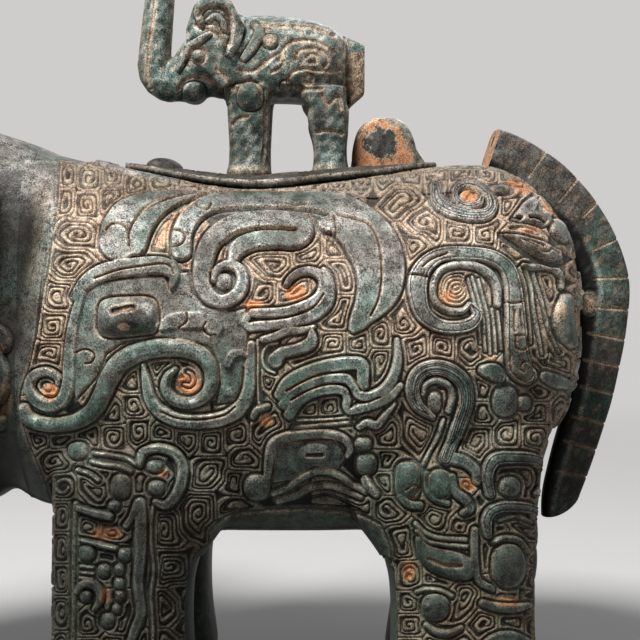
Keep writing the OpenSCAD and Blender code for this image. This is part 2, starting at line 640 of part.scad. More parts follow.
belly_shell();
wall_spacers();
head_shell();
trunk_spout();
left_ear();
right_ear();
left_tusk();
right_tusk();
front_left_leg();
front_right_leg();
rear_left_leg();
rear_right_leg();
front_core(LEFT);  // front_left_core
front_core(RIGHT);  // front_right_core
rear_core(LEFT);  // rear_left_core
rear_core(RIGHT);  // rear_right_core
tail();
tail_peg();
lid_plate();
lid_ring();
lid_lug();
knob_torso();
knob_head();
knob_trunk();
knob_left_ear();
knob_right_ear();
knob_tail();
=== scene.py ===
import json
import math
import bpy
import numpy as np
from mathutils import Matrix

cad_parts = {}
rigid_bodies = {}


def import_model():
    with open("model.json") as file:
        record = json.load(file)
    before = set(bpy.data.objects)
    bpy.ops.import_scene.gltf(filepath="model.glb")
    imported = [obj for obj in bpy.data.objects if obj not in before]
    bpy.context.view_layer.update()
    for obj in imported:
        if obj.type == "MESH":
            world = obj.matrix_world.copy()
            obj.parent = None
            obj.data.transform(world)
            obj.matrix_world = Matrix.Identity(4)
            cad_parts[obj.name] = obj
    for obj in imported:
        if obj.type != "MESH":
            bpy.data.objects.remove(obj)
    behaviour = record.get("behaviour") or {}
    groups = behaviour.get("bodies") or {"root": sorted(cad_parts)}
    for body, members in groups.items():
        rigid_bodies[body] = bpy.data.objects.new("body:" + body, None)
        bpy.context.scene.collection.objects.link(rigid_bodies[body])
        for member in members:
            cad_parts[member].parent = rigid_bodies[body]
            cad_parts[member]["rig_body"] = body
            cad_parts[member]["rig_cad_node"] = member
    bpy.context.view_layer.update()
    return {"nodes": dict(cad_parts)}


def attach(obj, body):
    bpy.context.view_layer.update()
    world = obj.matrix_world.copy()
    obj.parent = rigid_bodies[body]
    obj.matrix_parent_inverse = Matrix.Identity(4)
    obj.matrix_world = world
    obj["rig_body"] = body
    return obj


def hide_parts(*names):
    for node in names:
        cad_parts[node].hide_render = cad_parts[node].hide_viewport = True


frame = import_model()

# Studio: a wide sheet of pale paper under an even pale room, a soft lamp above the near side and two
# weaker ones. The camera stands level, 330 mm in front of the vessel's middle plane.
def join_node(tree, kind, feeds=(), **settings):
    node = tree.nodes.new(kind)
    for key, value in settings.items():
        setattr(node, key, value)
    for socket, value in feeds:
        if isinstance(value, bpy.types.NodeSocket):
            tree.links.new(value, node.inputs[socket])
        else:
            node.inputs[socket].default_value = value
    return node


def sums(tree, operation, *values):
    return join_node(tree, "ShaderNodeMath", list(enumerate(values)), operation=operation).outputs[0]


def spread(tree, value, low, high):
    feeds = [("Value", value), ("From Min", low), ("From Max", high)]
    return join_node(tree, "ShaderNodeMapRange", feeds, interpolation_type="SMOOTHSTEP").outputs[0]


def tint(tree, share, under, over, way="MIX"):
    feeds = [(0, share), (6, under), (7, over)]
    return join_node(tree, "ShaderNodeMix", feeds, data_type="RGBA", blend_type=way).outputs[2]


bpy.ops.object.select_all(action="DESELECT")
bpy.ops.mesh.primitive_circle_add(vertices=128, radius=4, fill_type="NGON", location=(0, 0, 0))
paper = bpy.context.object
paper.name = "paper_sheet"
pale = (0.62, 0.61, 0.6, 1)
white = bpy.data.materials.new("paper")
white.use_nodes = True
tree = white.node_tree
bounced = tree.nodes.new("ShaderNodeLightPath").outputs["Is Diffuse Ray"]
matt = tree.nodes["Principled BSDF"]
matt.inputs["Roughness"].default_value = 0.9
matt.inputs["Specular IOR Level"].default_value = 0.2
tree.links.new(tint(tree, bounced, (0.3, 0.296, 0.292, 1), (0.22, 0.21, 0.2, 1)), matt.inputs["Base Color"])
glow = join_node(tree, "ShaderNodeEmission", [("Color", pale)])
place = tree.nodes.new("ShaderNodeTexCoord").outputs["Object"]
away = join_node(tree, "ShaderNodeVectorMath", [(0, place)], operation="LENGTH").outputs["Value"]
share = sums(tree, "MULTIPLY", sums(tree, "SUBTRACT", 1, bounced), spread(tree, away, 0.2, 1.2))
blend = join_node(tree, "ShaderNodeMixShader", [(0, share), (1, matt.outputs[0]), (2, glow.outputs[0])])
tree.links.new(blend.outputs[0], tree.nodes["Material Output"].inputs["Surface"])
paper.data.materials.append(white)

for name, stand, aim, size, power in (
        ("lamp_above", (-0.32, -0.5, 1.0), (0.0, 0.0, 0.09), 0.36, 35.0),
        ("lamp_right", (0.95, -0.85, 0.45), (0.03, 0.0, 0.08), 0.9, 3.0),
        ("lamp_behind", (0.35, 0.95, 0.9), (0.0, 0.0, 0.1), 0.8, 9.0)):
    bpy.ops.object.light_add(type="AREA", location=stand)
    lamp = bpy.context.object
    lamp.name = name
    lamp.data.size = size
    lamp.data.energy = power
    step_to = [a - s for a, s in zip(aim, stand)]
    lamp.rotation_euler = (math.atan2(math.hypot(step_to[0], step_to[1]), -step_to[2]), 0,
                           math.atan2(step_to[1], step_to[0]) - math.pi / 2)
world = bpy.data.worlds.new("room")
world.use_nodes = True
tree = world.node_tree
bounced = tree.nodes.new("ShaderNodeLightPath").outputs["Is Diffuse Ray"]
tree.links.new(tint(tree, bounced, pale, (0.15, 0.155, 0.165, 1)), tree.nodes["Background"].inputs["Color"])
bpy.context.scene.world = world
bpy.context.scene.view_settings.view_transform = "Standard"

eye_x, eye_far, eye_z = 29.4, 330, 88.5
eye = (eye_x / 1000, -eye_far / 1000, eye_z / 1000)
bpy.ops.object.camera_add(location=eye, rotation=(math.pi / 2, 0, 0))
camera = bpy.context.object
camera.data.sensor_width = 36
focal_px, picture_px = 1318, 640
camera.data.lens = camera.data.sensor_width * focal_px / picture_px
camera.data.clip_start = 0.01
bpy.context.scene.camera = camera


# Bronze: leaded bronze gone dark, with green and blue-green patina, a grey-lilac shine where it is rubbed
# and a painted highlight on raised edges and higher up, and tan to orange earth left in the sunk places.
# Painted shade darkens grooves and hollows, the lower body, and the places each piece marks, some of
# them darker patina. Every casting has it, in its own measure.
def srgb(*rgb):
    return tuple(((c / 255 + 0.055) / 1.055) ** 2.4 for c in rgb) + (1.0,)


def cloud(tree, place, scale, detail, rough, shift=0.0):
    moved = join_node(tree, "ShaderNodeMapping", [("Vector", place), ("Location", (shift, -shift, shift))])
    feeds = [("Vector", moved.outputs[0]), ("Scale", scale), ("Detail", detail), ("Roughness", rough)]
    return join_node(tree, "ShaderNodeTexNoise", feeds).outputs[0]


patina_and_painted_light = bpy.data.node_groups.new("patina_and_painted_light", "ShaderNodeTree")
for name in ("Deep shade", "Earth", "Highlight and wear", "Shade and dark patina", "Green", "Rubbed"):
    patina_and_painted_light.interface.new_socket(name, in_out="INPUT", socket_type="NodeSocketFloat")
patina_and_painted_light.interface.new_socket("Colour", in_out="OUTPUT", socket_type="NodeSocketColor")
for name in ("Roughness", "Metal", "Grain"):
    patina_and_painted_light.interface.new_socket(name, in_out="OUTPUT", socket_type="NodeSocketFloat")
given = patina_and_painted_light.nodes.new("NodeGroupInput").outputs
place = patina_and_painted_light.nodes.new("ShaderNodeTexCoord").outputs["Object"]
patches = cloud(patina_and_painted_light, place, 55, 4, 0.6)
drifts = cloud(patina_and_painted_light, place, 95, 4, 0.6, 3.1)
mottle = cloud(patina_and_painted_light, place, 420, 5, 0.7)
speck = cloud(patina_and_painted_light, place, 3000, 3, 0.7, 1.7)


def times(value, by, plus=0.0):
    return sums(patina_and_painted_light, "MULTIPLY_ADD", value, by, plus)


def within(value, low, high):
    return spread(patina_and_painted_light, value, low, high)


def flecked(low, high, dark, light):
    return tint(patina_and_painted_light, within(fleck, low, high), srgb(*dark), srgb(*light))


fleck = times(speck, 0.6, times(mottle, 0.4))
height = join_node(patina_and_painted_light, "ShaderNodeSeparateXYZ", [("Vector", place)]).outputs[2]
# painted light: higher up the casting shines more, with a paler highlight colour and a little less green
high_up_lit = within(height, 0.07, 0.122)
colour = flecked(0.34, 0.68, (24, 24, 22), (104, 98, 90))
greened = times(high_up_lit, -0.05, sums(patina_and_painted_light, "ADD", times(mottle, 0.4, times(patches, 0.7)), given["Green"]))
green = times(within(greened, 0.42, 0.64), 0.8)
colour = tint(patina_and_painted_light, green, colour, flecked(0.34, 0.68, (16, 30, 27), (84, 112, 100)))
blue = times(within(sums(patina_and_painted_light, "ADD", drifts, given["Green"]), 0.54, 0.7), 0.45)
colour = tint(patina_and_painted_light, blue, colour, flecked(0.36, 0.64, (14, 36, 40), (88, 134, 128)))
pale_green = times(within(times(fleck, 0.6, times(greened, 0.5)), 0.65, 0.76), 0.7)
colour = tint(patina_and_painted_light, pale_green, colour, srgb(120, 164, 146))
# painted highlight together with wear: raised edges, marked highlights, rubbing and height turn the colour
# pale grey-lilac and metallic
rubbed_and_highlight = times(high_up_lit, 0.28, sums(patina_and_painted_light, "ADD", given["Highlight and wear"], given["Rubbed"]))
rubbed_and_highlight = times(times(rubbed_and_highlight, within(drifts, 0.34, 0.6)), within(fleck, 0.4, 0.64))
bright = tint(patina_and_painted_light, high_up_lit, srgb(196, 198, 190), srgb(222, 212, 206))
colour = tint(patina_and_painted_light, sums(patina_and_painted_light, "MINIMUM", rubbed_and_highlight, 0.94), colour, bright)
soiled = times(given["Earth"], within(fleck, 0.24, 0.5))
soil = flecked(0.42, 0.6, (104, 78, 58), (218, 188, 158))
thick_soil = flecked(0.4, 0.6, (134, 88, 60), (214, 154, 112))
soil = tint(patina_and_painted_light, within(given["Earth"], 0.72, 0.95), soil, thick_soil)
colour = tint(patina_and_painted_light, sums(patina_and_painted_light, "MINIMUM", soiled, 0.96), colour, soil)
# painted shade: grooves, hollows and other marked places go near black
colour = tint(patina_and_painted_light, times(within(given["Deep shade"], 0.2, 0.8), 0.95), colour, srgb(15, 12, 10))
# painted shade: darker towards the bottom of the casting
low_down_shade = times(within(height, 0.096, 0.046), 0.78)
colour = tint(patina_and_painted_light, low_down_shade, colour, (0.3, 0.32, 0.29, 1), "MULTIPLY")
# painted shade where a piece marks it, together with some darker patches of patina
colour = tint(patina_and_painted_light, given["Shade and dark patina"], colour, (0.145, 0.155, 0.148, 1), "MULTIPLY")
rough = times(sums(patina_and_painted_light, "MAXIMUM", soiled, given["Deep shade"]), 0.3, times(speck, 0.35, 0.3))
rough = times(rubbed_and_highlight, -0.15, rough)
grain = times(speck, 0.7, times(mottle, 0.6))
put = patina_and_painted_light.nodes.new("NodeGroupOutput")
patina_and_painted_light.links.new(colour, put.inputs["Colour"])
patina_and_painted_light.links.new(rough, put.inputs["Roughness"])
patina_and_painted_light.links.new(times(rubbed_and_highlight, 0.7), put.inputs["Metal"])
patina_and_painted_light.links.new(grain, put.inputs["Grain"])


def bronze(name, green=0.0, rubbed=0.15, grain=0.35):
    finish = bpy.data.materials.new(name)
    finish.use_nodes = True
    tree = finish.node_tree
    shader = tree.nodes["Principled BSDF"]
    cast = join_node(tree, "ShaderNodeAttribute", attribute_name="cast")
    parts = join_node(tree, "ShaderNodeSeparateColor", [("Color", cast.outputs["Color"])])
    skin_of = tree.nodes.new("ShaderNodeGroup")
    skin_of.node_tree = patina_and_painted_light
    for socket, part in (("Deep shade", 0), ("Earth", 1), ("Highlight and wear", 2)):
        tree.links.new(parts.outputs[part], skin_of.inputs[socket])
    tree.links.new(cast.outputs["Alpha"], skin_of.inputs["Shade and dark patina"])
    skin_of.inputs["Green"].default_value = green
    skin_of.inputs["Rubbed"].default_value = rubbed
    shader.inputs["Specular IOR Level"].default_value = 0.1
    feeds = [("Height", skin_of.outputs["Grain"]), ("Strength", grain), ("Distance", 0.0004)]
    bump = join_node(tree, "ShaderNodeBump", feeds)
    for output, socket in (("Colour", "Base Color"), ("Roughness", "Roughness"), ("Metal", "Metallic")):
        tree.links.new(skin_of.outputs[output], shader.inputs[socket])
    tree.links.new(bump.outputs[0], shader.inputs["Normal"])
    return finish


# Skin: belly, neck, head and legs are one pour of bronze, so they are melted into one smooth wall,
# inside and out, and parted again where one named piece ends and the next begins.
def melt(name, nodes, voxel, smooth):
    bpy.ops.object.select_all(action="DESELECT")
    for node in nodes:
        frame["nodes"][node].select_set(True)
    bpy.context.view_layer.objects.active = frame["nodes"][nodes[0]]
    bpy.ops.object.duplicate()
    if len(nodes) > 1:
        bpy.ops.object.join()
    piece = bpy.context.object
    piece.name = piece.data.name = name
    piece.parent = None
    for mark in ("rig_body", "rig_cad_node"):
        if mark in piece:
            del piece[mark]
    piece.data.materials.clear()
    bpy.ops.object.mode_set(mode="EDIT")
    bpy.ops.mesh.select_all(action="SELECT")
    bpy.ops.mesh.remove_doubles(threshold=1e-6)
    bpy.ops.object.mode_set(mode="OBJECT")
    remesh = piece.modifiers.new("melt", "REMESH")
    remesh.mode = "VOXEL"
    remesh.voxel_size = voxel
    bpy.ops.object.modifier_apply(modifier=remesh.name)
    if smooth:
        ease = piece.modifiers.new("ease", "SMOOTH")
        ease.factor = 0.5
        ease.iterations = smooth
        bpy.ops.object.modifier_apply(modifier=ease.name)
    bpy.ops.object.shade_smooth()
    return piece


def triples(items, field):
    flat = np.empty(len(items) * 3, np.float32)
    items.foreach_get(field, flat)
    return flat.reshape(-1, 3)


def points_of(piece):
    return triples(piece.data.vertices, "co").astype(np.float64)


def move_points(piece, points):
    piece.data.vertices.foreach_set("co", points.astype(np.float32).ravel())
    piece.data.update()


def pick(piece, kind, chosen):
    for items in (piece.data.vertices, piece.data.edges, piece.data.polygons):
        items.foreach_set("select", np.zeros(len(items), bool))
    getattr(piece.data, kind).foreach_set("select", chosen)


def part_off(piece, name, faces):
    bpy.ops.object.select_all(action="DESELECT")
    piece.select_set(True)
    bpy.context.view_layer.objects.active = piece
    pick(piece, "polygons", faces)
    bpy.ops.object.mode_set(mode="EDIT")
    bpy.ops.mesh.select_mode(type="FACE")
    bpy.ops.mesh.separate(type="SELECTED")
    bpy.ops.object.mode_set(mode="OBJECT")
    off = [o for o in bpy.context.selected_objects if o != piece][0]
    off.name = off.data.name = name
    return off


def centres_of(piece):
    return triples(piece.data.polygons, "center") * 1000


def settle(piece, body, slot, finish, *nodes):
    piece.data.materials.clear()
    piece.data.materials.append(finish)
    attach(piece, body)
    if nodes:
        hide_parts(*nodes)


legs = ("front_left", "front_right", "rear_left", "rear_right")
walls = ["belly_shell", "wall_spacers", "head_shell"] + [leg + "_leg" for leg in legs]
skin = melt("belly_skin", walls + [leg + "_core" for leg in legs], 0.0011, 26)


def eased(rows, at):
    """A smooth curve through rows of (place, values), read at many places."""
    rows = np.array(rows, float)
    spot, value, last = rows[:, 0], rows[:, 1:], len(rows) - 1
    after = np.minimum(np.arange(last + 1) + 1, last)
    before = np.maximum(np.arange(last + 1) - 1, 0)
    slope = (value[after] - value[before]) / (spot[after] - spot[before])[:, None]
    i = np.clip(np.searchsorted(spot, at, "right") - 1, 0, last - 1)
    h = (spot[i + 1] - spot[i])[:, None]
    t = (at - spot[i])[:, None] / h
    return ((2 * t ** 3 - 3 * t ** 2 + 1) * value[i] + (t ** 3 - 2 * t ** 2 + t) * h * slope[i]
            + (3 * t ** 2 - 2 * t ** 3) * value[i + 1] + (t ** 3 - t ** 2) * h * slope[i + 1])


# the wall without its ornament: share of the length, rise of the underside and of the back, half-width
barrel_wall = ((0, 3.5, 7.2, 33), (0.072, 2.2, 5.1, 36.9), (0.167, 0.9, 2.9, 40), (0.295, 0.2, 0.6, 41),
               (0.375, 0, 0, 41), (0.518, 0, 1.6, 41), (0.645, 0.6, 2.9, 41), (0.757, 3, 4.6, 40),
               (0.837, 6.5, 4.2, 37.5), (0.9, 11, 0.2, 33.2), (0.948, 22, -6.4, 26.6),
               (0.98, 32.5, -14.5, 18.9), (0.995, 40, -23, 10.2), (1, 45, -29, 4.1))
head_wall = ((0, 3.5, 7.2, 33), (0.13, 4.6, 10.6, 30), (0.26, 5.6, 13, 29.4), (0.4, 6.4, 16, 30.4),
             (0.55, 6.6, 15.4, 29.8), (0.69, 6.8, 9.6, 26.6), (0.82, 7.4, -3, 21.6), (0.93, 9, -19, 15.4),
             (1, 12, -34, 9))
chest_x, body_len, head_len = -33, 125.5, 59
belly_z, back_z = 39, 121.4
squareness = 2.7
p = points_of(skin) * 1000
behind = p[:, 0] > chest_x
share = np.where(behind, (p[:, 0] - chest_x) / body_len, (chest_x - p[:, 0]) / head_len)
at = np.clip(share, 0, 1)
under, over, half = np.where(behind[:, None], eased(barrel_wall, at), eased(head_wall, at)).T
middle = (belly_z + under + back_z + over) / 2
tall = (back_z + over - belly_z - under) / 2
level = np.abs(p[:, 1] / half) ** squareness + np.abs((p[:, 2] - middle) / tall) ** squareness
level = level ** (1 / squareness)
radius = np.hypot(p[:, 1], p[:, 2] - middle)
proud_by = radius * (1 - 1 / np.maximum(level, 1e-6))
sink = np.where(proud_by < 1.8, np.clip(proud_by, 0, None), np.clip(3.6 - proud_by, 0, None)) * (share < 0.95)


def ramp(value, low, high):
    t = np.clip((value - low) / (high - low), 0, 1)
    return t * t * (3 - 2 * t)


def neck_edge(z):
    heights = (48, 52, 56.4, 60.8, 65.2, 70.8, 74, 78.3, 86.3, 97.4, 101.8, 108.4, 115, 123)
    places = (-29.6, -30.8, -32.6, -34.6, -36, -36.8, -36.3, -34.6, -32.8, -31.3, -30.4, -29.3, -28.4, -28)
    return np.interp(z, heights, places)


def in_sight(p, plane):
    """Where the eye sees a point, as x and z on an upright plane so far out from the middle."""
    away = (eye_far - plane) / (eye_far - np.abs(p[..., 1]))
    return eye_x + (p[..., 0] - eye_x) * away, eye_z + (p[..., 2] - eye_z) * away


def draw_in(p):
    """The underside hangs a little between the legs and under the neck, and the legs taper."""
    x, y, z = p.T.copy()
    z -= 1.9 * ramp(z, 52, 44) * ramp(x, -6, 8) * ramp(x, 52, 42) * (z > 36)
    z += ramp(z, 60, 50) * (2.6 * np.exp(-((x + 44.5) / 4.4) ** 2) - 1.2 * ramp(x, -47, -52) * (x > -62))
    front = 1.7 * ramp(x, -9, 2) * (x < 20)
    x += ramp(z, 46, 40) * (3 * ramp(x, 58, 46) * (x > 30) * (y > 0) - front)
    x -= (2.4 * ramp(z, 66, 56) + 1.6 * ramp(z, 68, 58) * ramp(z, 38, 46)) * ramp(x, 64, 80)
    return np.stack([x, y, z], -1)


# the neck is drawn in behind the ear, so the flank ends in a soft ridge
flank_plane = 38
x, z = in_sight(p, flank_plane)
rear_of_cheek = -57 + 15 * np.exp(-((z - 75) / 12) ** 2)
hollow = ramp(neck_edge(z) - x, 2.2, 7) * ramp(x - rear_of_cheek, -2, 4)
hollow *= ramp(z, 123, 112) * ramp(z, 46, 56)
sink = np.maximum(sink, 0) + 2.2 * hollow * (np.abs(p[:, 1]) > 12) * (level > 0.96)
p[:, 1] *= 1 - sink / radius
p[:, 2] = middle + (p[:, 2] - middle) * (1 - sink / radius)
move_points(skin, draw_in(p) * 0.001)
dark_bronze = bronze("dark_bronze", green=-0.02)
leg_bronze = bronze("leg_bronze", green=-0.02, rubbed=0.12)


# Flank ornament: drawn on a flat sheet in millimetres, x along the vessel and z up, as the camera sees
# it on the flank's plane. Bands stand up, lines are cut in, and square spirals of thread fill the ground.
def blurred(a, cells):
    for axis in (0, 1):
        pad = [(0, 0), (0, 0)]
        pad[axis] = (cells + 1, cells)
        total = np.cumsum(np.pad(a, pad, mode="edge"), axis=axis)
        size = a.shape[axis]
        whole = 2 * cells + 1
        a = (np.take(total, range(whole, whole + size), axis) - np.take(total, range(size), axis)) / whole
    return a


def lift(layer, level):
    np.maximum(layer, level, out=layer)


class Drawing:
    def __init__(self, low, high, pixel):
        self.low, self.pixel = low, pixel
        self.x, self.z = np.meshgrid(np.arange(low[0], high[0], pixel), np.arange(low[1], high[1], pixel))
        # dark holds painted shade: in cut lines, between threads and in hollows
        self.high, self.cuts, self.earth, self.dark = (np.zeros_like(self.x) for _ in range(4))
        self.near = np.full_like(self.x, -9.0)
        self.ground = 0.0

    def window(self, x, z, reach):
        spans = []
        for spot, low in ((z, self.low[1]), (x, self.low[0])):
            first = int((spot - reach - low) / self.pixel)
            last = int((spot + reach - low) / self.pixel) + 2
            spans.append(slice(max(first, 0), max(last, 0)))
        return tuple(spans)

    def trace(self, points, margin):
        points = np.array(points, float)
        ends = np.vstack([2 * points[0] - points[1], points, 2 * points[-1] - points[-2]])
        spots = [points[-1]]
        for i in range(len(points) - 1):
            p, q, r, s = ends[i:i + 4]
            for t in np.arange(0, 1, 0.3 / max(np.hypot(*(r - q)[:2]), 0.3)):
                spots.append(0.5 * (2 * q + (r - p) * t + (2 * p - 5 * q + 4 * r - s) * t ** 2
                                    + (3 * q - p - 3 * r + s) * t ** 3))
        edge = np.full_like(self.x, -9.0)
        for x, z, w in spots:
            at = self.window(x, z, w + margin)
            lift(edge[at], w - np.hypot(self.x[at] - x, self.z[at] - z))
        return edge

    def raise_by(self, edge, high, soft):
        rise = np.clip(edge / soft, 0, 1)
        crown = 0.06 * high * np.clip(edge / 2.4, 0, 1)
        lift(self.high, high * np.sqrt(1 - (1 - rise) ** 2) + crown)
        lift(self.near, edge)

    def band(self, *points, high=1.2, soft=0.36, lines=()):
        edge = self.trace(points, 3.4)
        self.raise_by(edge, high, soft)
        for inward in lines:
            line = np.clip(1.3 - np.abs(edge - inward) / 0.13, 0, 1)
            lift(self.cuts, 0.4 * line)
            # painted shade in the cut line
            lift(self.dark, 0.9 * line)

    def thread(self, *points, w=0.32, high=0.55):
        self.raise_by(self.trace([(x, z, w) for x, z in points], 1.0), high, w)

    def cut(self, *points, w=0.28, deep=0.7, earth=0.2):
        far = self.trace([(x, z, w) for x, z in points], 0.5)
        lip = np.clip(1 - np.abs(far + 0.12) / 0.22, 0, 1)
        lift(self.earth, 0.5 * lip)
        edge = np.clip(far / w, 0, 1)
        lift(self.cuts, deep * np.sqrt(1 - (1 - edge) ** 2))
        lift(self.earth, earth * np.sqrt(edge))
        # painted shade in the groove, less where it holds earth
        lift(self.dark, (1 - earth) * np.sqrt(edge))

    def boss(self, x, z, rx, rz, high=1.4, turn=0.0, power=2.4, dome=0.5):
        at = self.window(x, z, max(rx, rz) + 3.4)
        c, s = math.cos(math.radians(turn)), math.sin(math.radians(turn))
        dx, dz = self.x[at] - x, self.z[at] - z
        q = np.abs((dx * c + dz * s) / rx) ** power + np.abs((dz * c - dx * s) / rz) ** power
        q = q ** (1 / power)
        lift(self.high[at], high * np.clip(1 - q ** 2, 0, 1) ** dome)
        lift(self.near[at], (1 - q) * min(rx, rz))

    def field(self, *corners, high=0.45, soft=0.8):
        inside = np.zeros(self.x.shape, bool)
        far = np.full_like(self.x, 9.0)
        for (x0, z0), (x1, z1) in zip(corners, corners[1:] + corners[:1]):
            run, rise = x1 - x0, z1 - z0
            dx, dz = self.x - x0, self.z - z0
            share = np.clip((dx * run + dz * rise) / (run ** 2 + rise ** 2), 0, 1)
            np.minimum(far, np.hypot(dx - share * run, dz - share * rise), out=far)
            if rise != 0:
                crossing = (z0 > self.z) != (z1 > self.z)
                inside ^= crossing & (self.x < run * dz / rise + x0)
        self.raise_by(np.where(inside, far, -far), high, soft)

    def soil(self, x, z, rx, rz, share=1.0):
        at = self.window(x, z, max(rx, rz))
        q = np.hypot((self.x[at] - x) / rx, (self.z[at] - z) / rz)
        lift(self.earth[at], share * np.clip((1 - q) * 3, 0, 1))

    def silt(self, *points, share=0.9):
        edge = self.trace(points, 0.2)
        lift(self.earth, share * np.clip(edge / 0.35, 0, 1))

    def blur(self, a, reach):
        return blurred(a, max(int(reach / self.pixel), 1))

    def fill(self, centres, spacing=5.5, pitch=0.84, high=0.5, within=None, earth_share=1.0):
        """Square spirals: each centre has a cell, and its thread runs round the cell and then inwards."""
        centres = list(centres)
        for z in np.arange(self.low[1] + 2, self.z.max(), spacing * 0.95):
            for x in np.arange(self.low[0] + 2, self.x.max(), spacing):
                at = (int((z - self.low[1]) / self.pixel), int((x - self.low[0]) / self.pixel))
                clear = (max(abs(x - c[0]), abs(z - c[1])) > 0.74 * spacing for c in centres)
                if self.near[at] < -1.0 and all(clear):
                    centres.append((x, z))
        first = np.full_like(self.x, 40.0)
        second = np.full_like(self.x, 40.0)
        round_to = np.zeros_like(self.x)
        for k, (x, z) in enumerate(centres):
            at = self.window(x, z, 2.2 * spacing)
            dx, dz = self.x[at] - x, self.z[at] - z
            far = (np.abs(dx) ** 7 + np.abs(dz) ** 7) ** (1 / 7)
            closer = far < first[at]
            second[at] = np.where(closer, first[at], np.minimum(second[at], far))
            first[at] = np.where(closer, far, first[at])
            turn = np.arctan2(dz, dx) * (1 if k % 2 else -1) / (2 * math.pi)
            round_to[at] = np.where(closer, turn, round_to[at])
        rim = np.clip(np.minimum(-self.near - 0.45, (second - first) / 2 - 0.04), -1, 6)
        inward = np.where(rim < 0.4, rim, np.maximum(self.blur(self.blur(rim, 0.4), 0.4), 0.3)) / pitch
        phase = np.where(inward > 1.0, inward - round_to % 1.0, inward) - 0.3
        line = np.clip(0.66 + 0.8 * np.cos(2 * math.pi * phase), 0, 1)
        line *= np.clip(inward * pitch / 0.12, 0, 1) * (first < 2 * spacing)
        ground = np.clip((-self.near - 0.4) / 0.2, 0, 1)
        if within is not None:
            ground = ground * within
        self.high += high * line * ground
        self.ground = ground
        lift(self.earth, (0.2 + 0.46 * line) * ground * earth_share)
        # painted shade in the gaps between threads, darker where less earth is given
        lift(self.dark, (0.92 - 0.3 * earth_share) * (1 - line) * ground)

    def bake(self):
        # painted shadow in a thin line just outside every raised edge
        shadow_beside = np.clip(1 - np.abs(-self.near - 0.28) / 0.3, 0, 1)
        self.top = self.high - self.cuts - 0.35 * shadow_beside
        lift(self.dark, 0.95 * shadow_beside)
        lift(self.earth, 0.5 * np.exp(-((self.near - 0.16) / 0.13) ** 2))
        mean = self.blur(self.blur(self.top, 0.6), 0.6)
        # painted shade: where the surface lies below its surroundings it goes dark
        self.deep_shade = np.clip(np.maximum(self.dark, (mean - self.top) / 0.9), 0, 1)
        self.deep_shade = self.deep_shade * np.clip(1.6 - 1.7 * self.earth, 0, 1)
        # painted highlight on raised edges, which also stands for wear there
        self.highlight_and_wear = np.clip((self.top - mean) / 0.45, 0, 1) * (1 - 0.75 * self.ground)

    def read(self, layer, x, z):
        u = np.clip((x - self.low[0]) / self.pixel, 0, layer.shape[1] - 1.001)
        v = np.clip((z - self.low[1]) / self.pixel, 0, layer.shape[0] - 1.001)
        i, j = u.astype(int), v.astype(int)
        u, v = u - i, v - j
        return ((layer[j, i] * (1 - u) + layer[j, i + 1] * u) * (1 - v)
                + (layer[j + 1, i] * (1 - u) + layer[j + 1, i + 1] * u) * v)

    def looks(self, x, z):
        return [self.read(layer, x, z) for layer in (self.top, self.deep_shade, self.earth, self.highlight_and_wear)]


flank = Drawing((-46, -2), (100, 126), 0.125)
# neck border and the dragon's face: leaf horns, brow, eye, snout, jaw and cheek
flank.cut((-29.2, 107), (-29.9, 103), (-30.9, 98), (-31.4, 94), (-31.9, 90), (-32.3, 86), (-32.8, 82),
          (-33.6, 78.5))
flank.cut((-31.1, 103), (-32, 98), (-32.5, 94), (-33, 90), (-33.4, 86), (-34, 82))
flank.band((-15, 105.5, 4.2), (-15, 108.5, 3.6), (-13.5, 112, 2.6), (-9, 114.5, 1.4), (-3, 115.8, 0.8),
           (3, 116, 0.4))
flank.band((-11.5, 105, 2.6), (-10, 108.5, 2.4), (-7.6, 111.5, 1.9), (-4, 113.8, 1.3), (0, 115.2, 0.8),
           (4, 115.9, 0.4))
flank.cut((-12.6, 104.5), (-12.7, 107), (-11.8, 109.4), (-10, 111.6), (-7, 113.4), (-3, 114.8), (2, 115.9),
          deep=0.9)
flank.cut((-17.6, 108), (-16.6, 109.1), (-15, 109.3), (-13.6, 108.6), (-12.7, 107.3))
flank.field((-23.5, 94), (-20, 96.5), (-10, 98.2), (-5, 98), (-4, 95), (-1, 95), (1, 92), (3, 90.5),
            (-2, 90.2), (-5, 89), (-6, 86), (-8, 84.6), (-14, 84), (-18, 81), (-20, 76), (-24.5, 71),
            (-25.5, 76), (-24.5, 84))
flank.band((-24.6, 93.5, 0.9), (-22, 96.8, 1.5), (-18, 99, 1.9), (-12, 100, 2.0), (-6, 100.3, 2.0),
           (-3.4, 99.3, 1.6), (-2.7, 97.2, 1.0), (-3.4, 95.4, 0.5), high=1.3, soft=0.36)
flank.cut((-20, 97.6), (-15, 99.3), (-10, 100.1), (-5.5, 100.6), (-3.6, 100), (-2.9, 98.6))
flank.field((-4, 98.5), (0, 99), (1, 94.5), (3.5, 91.6), (8, 90), (12.8, 91), (13.2, 86), (13, 78),
            (9, 79), (5, 83), (-4, 84.6), (-8, 85), (-4, 92))
mask_eye = (-13, 89.2)
flank.boss(*mask_eye, 7, 4.8, high=4.4, turn=2, power=4, dome=1.0)
flank.soil(-13, 86.9, 1.5, 1.0, 0.66)
flank.cut((-19.8, 89), (-19.7, 86.4), (-18.4, 84.7), (-15, 84.4), (-10.4, 84.8), (-7.2, 85.4),
          (-6.1, 87.2), (-6.1, 90.6), (-6.9, 92.9), (-9, 93.8), (-13, 93.8), (-17, 93.5), (-19.2, 92.4),
          (-19.8, 89), w=0.32, deep=0.6)
flank.cut((-15.2, 90.3), (-13, 90.8), (-11.2, 91.1), w=0.95, deep=0.3, earth=0.02)
flank.cut((-14.9, 90.2), (-13, 90.7), (-11.5, 91), w=0.6, deep=1.3, earth=0.85)
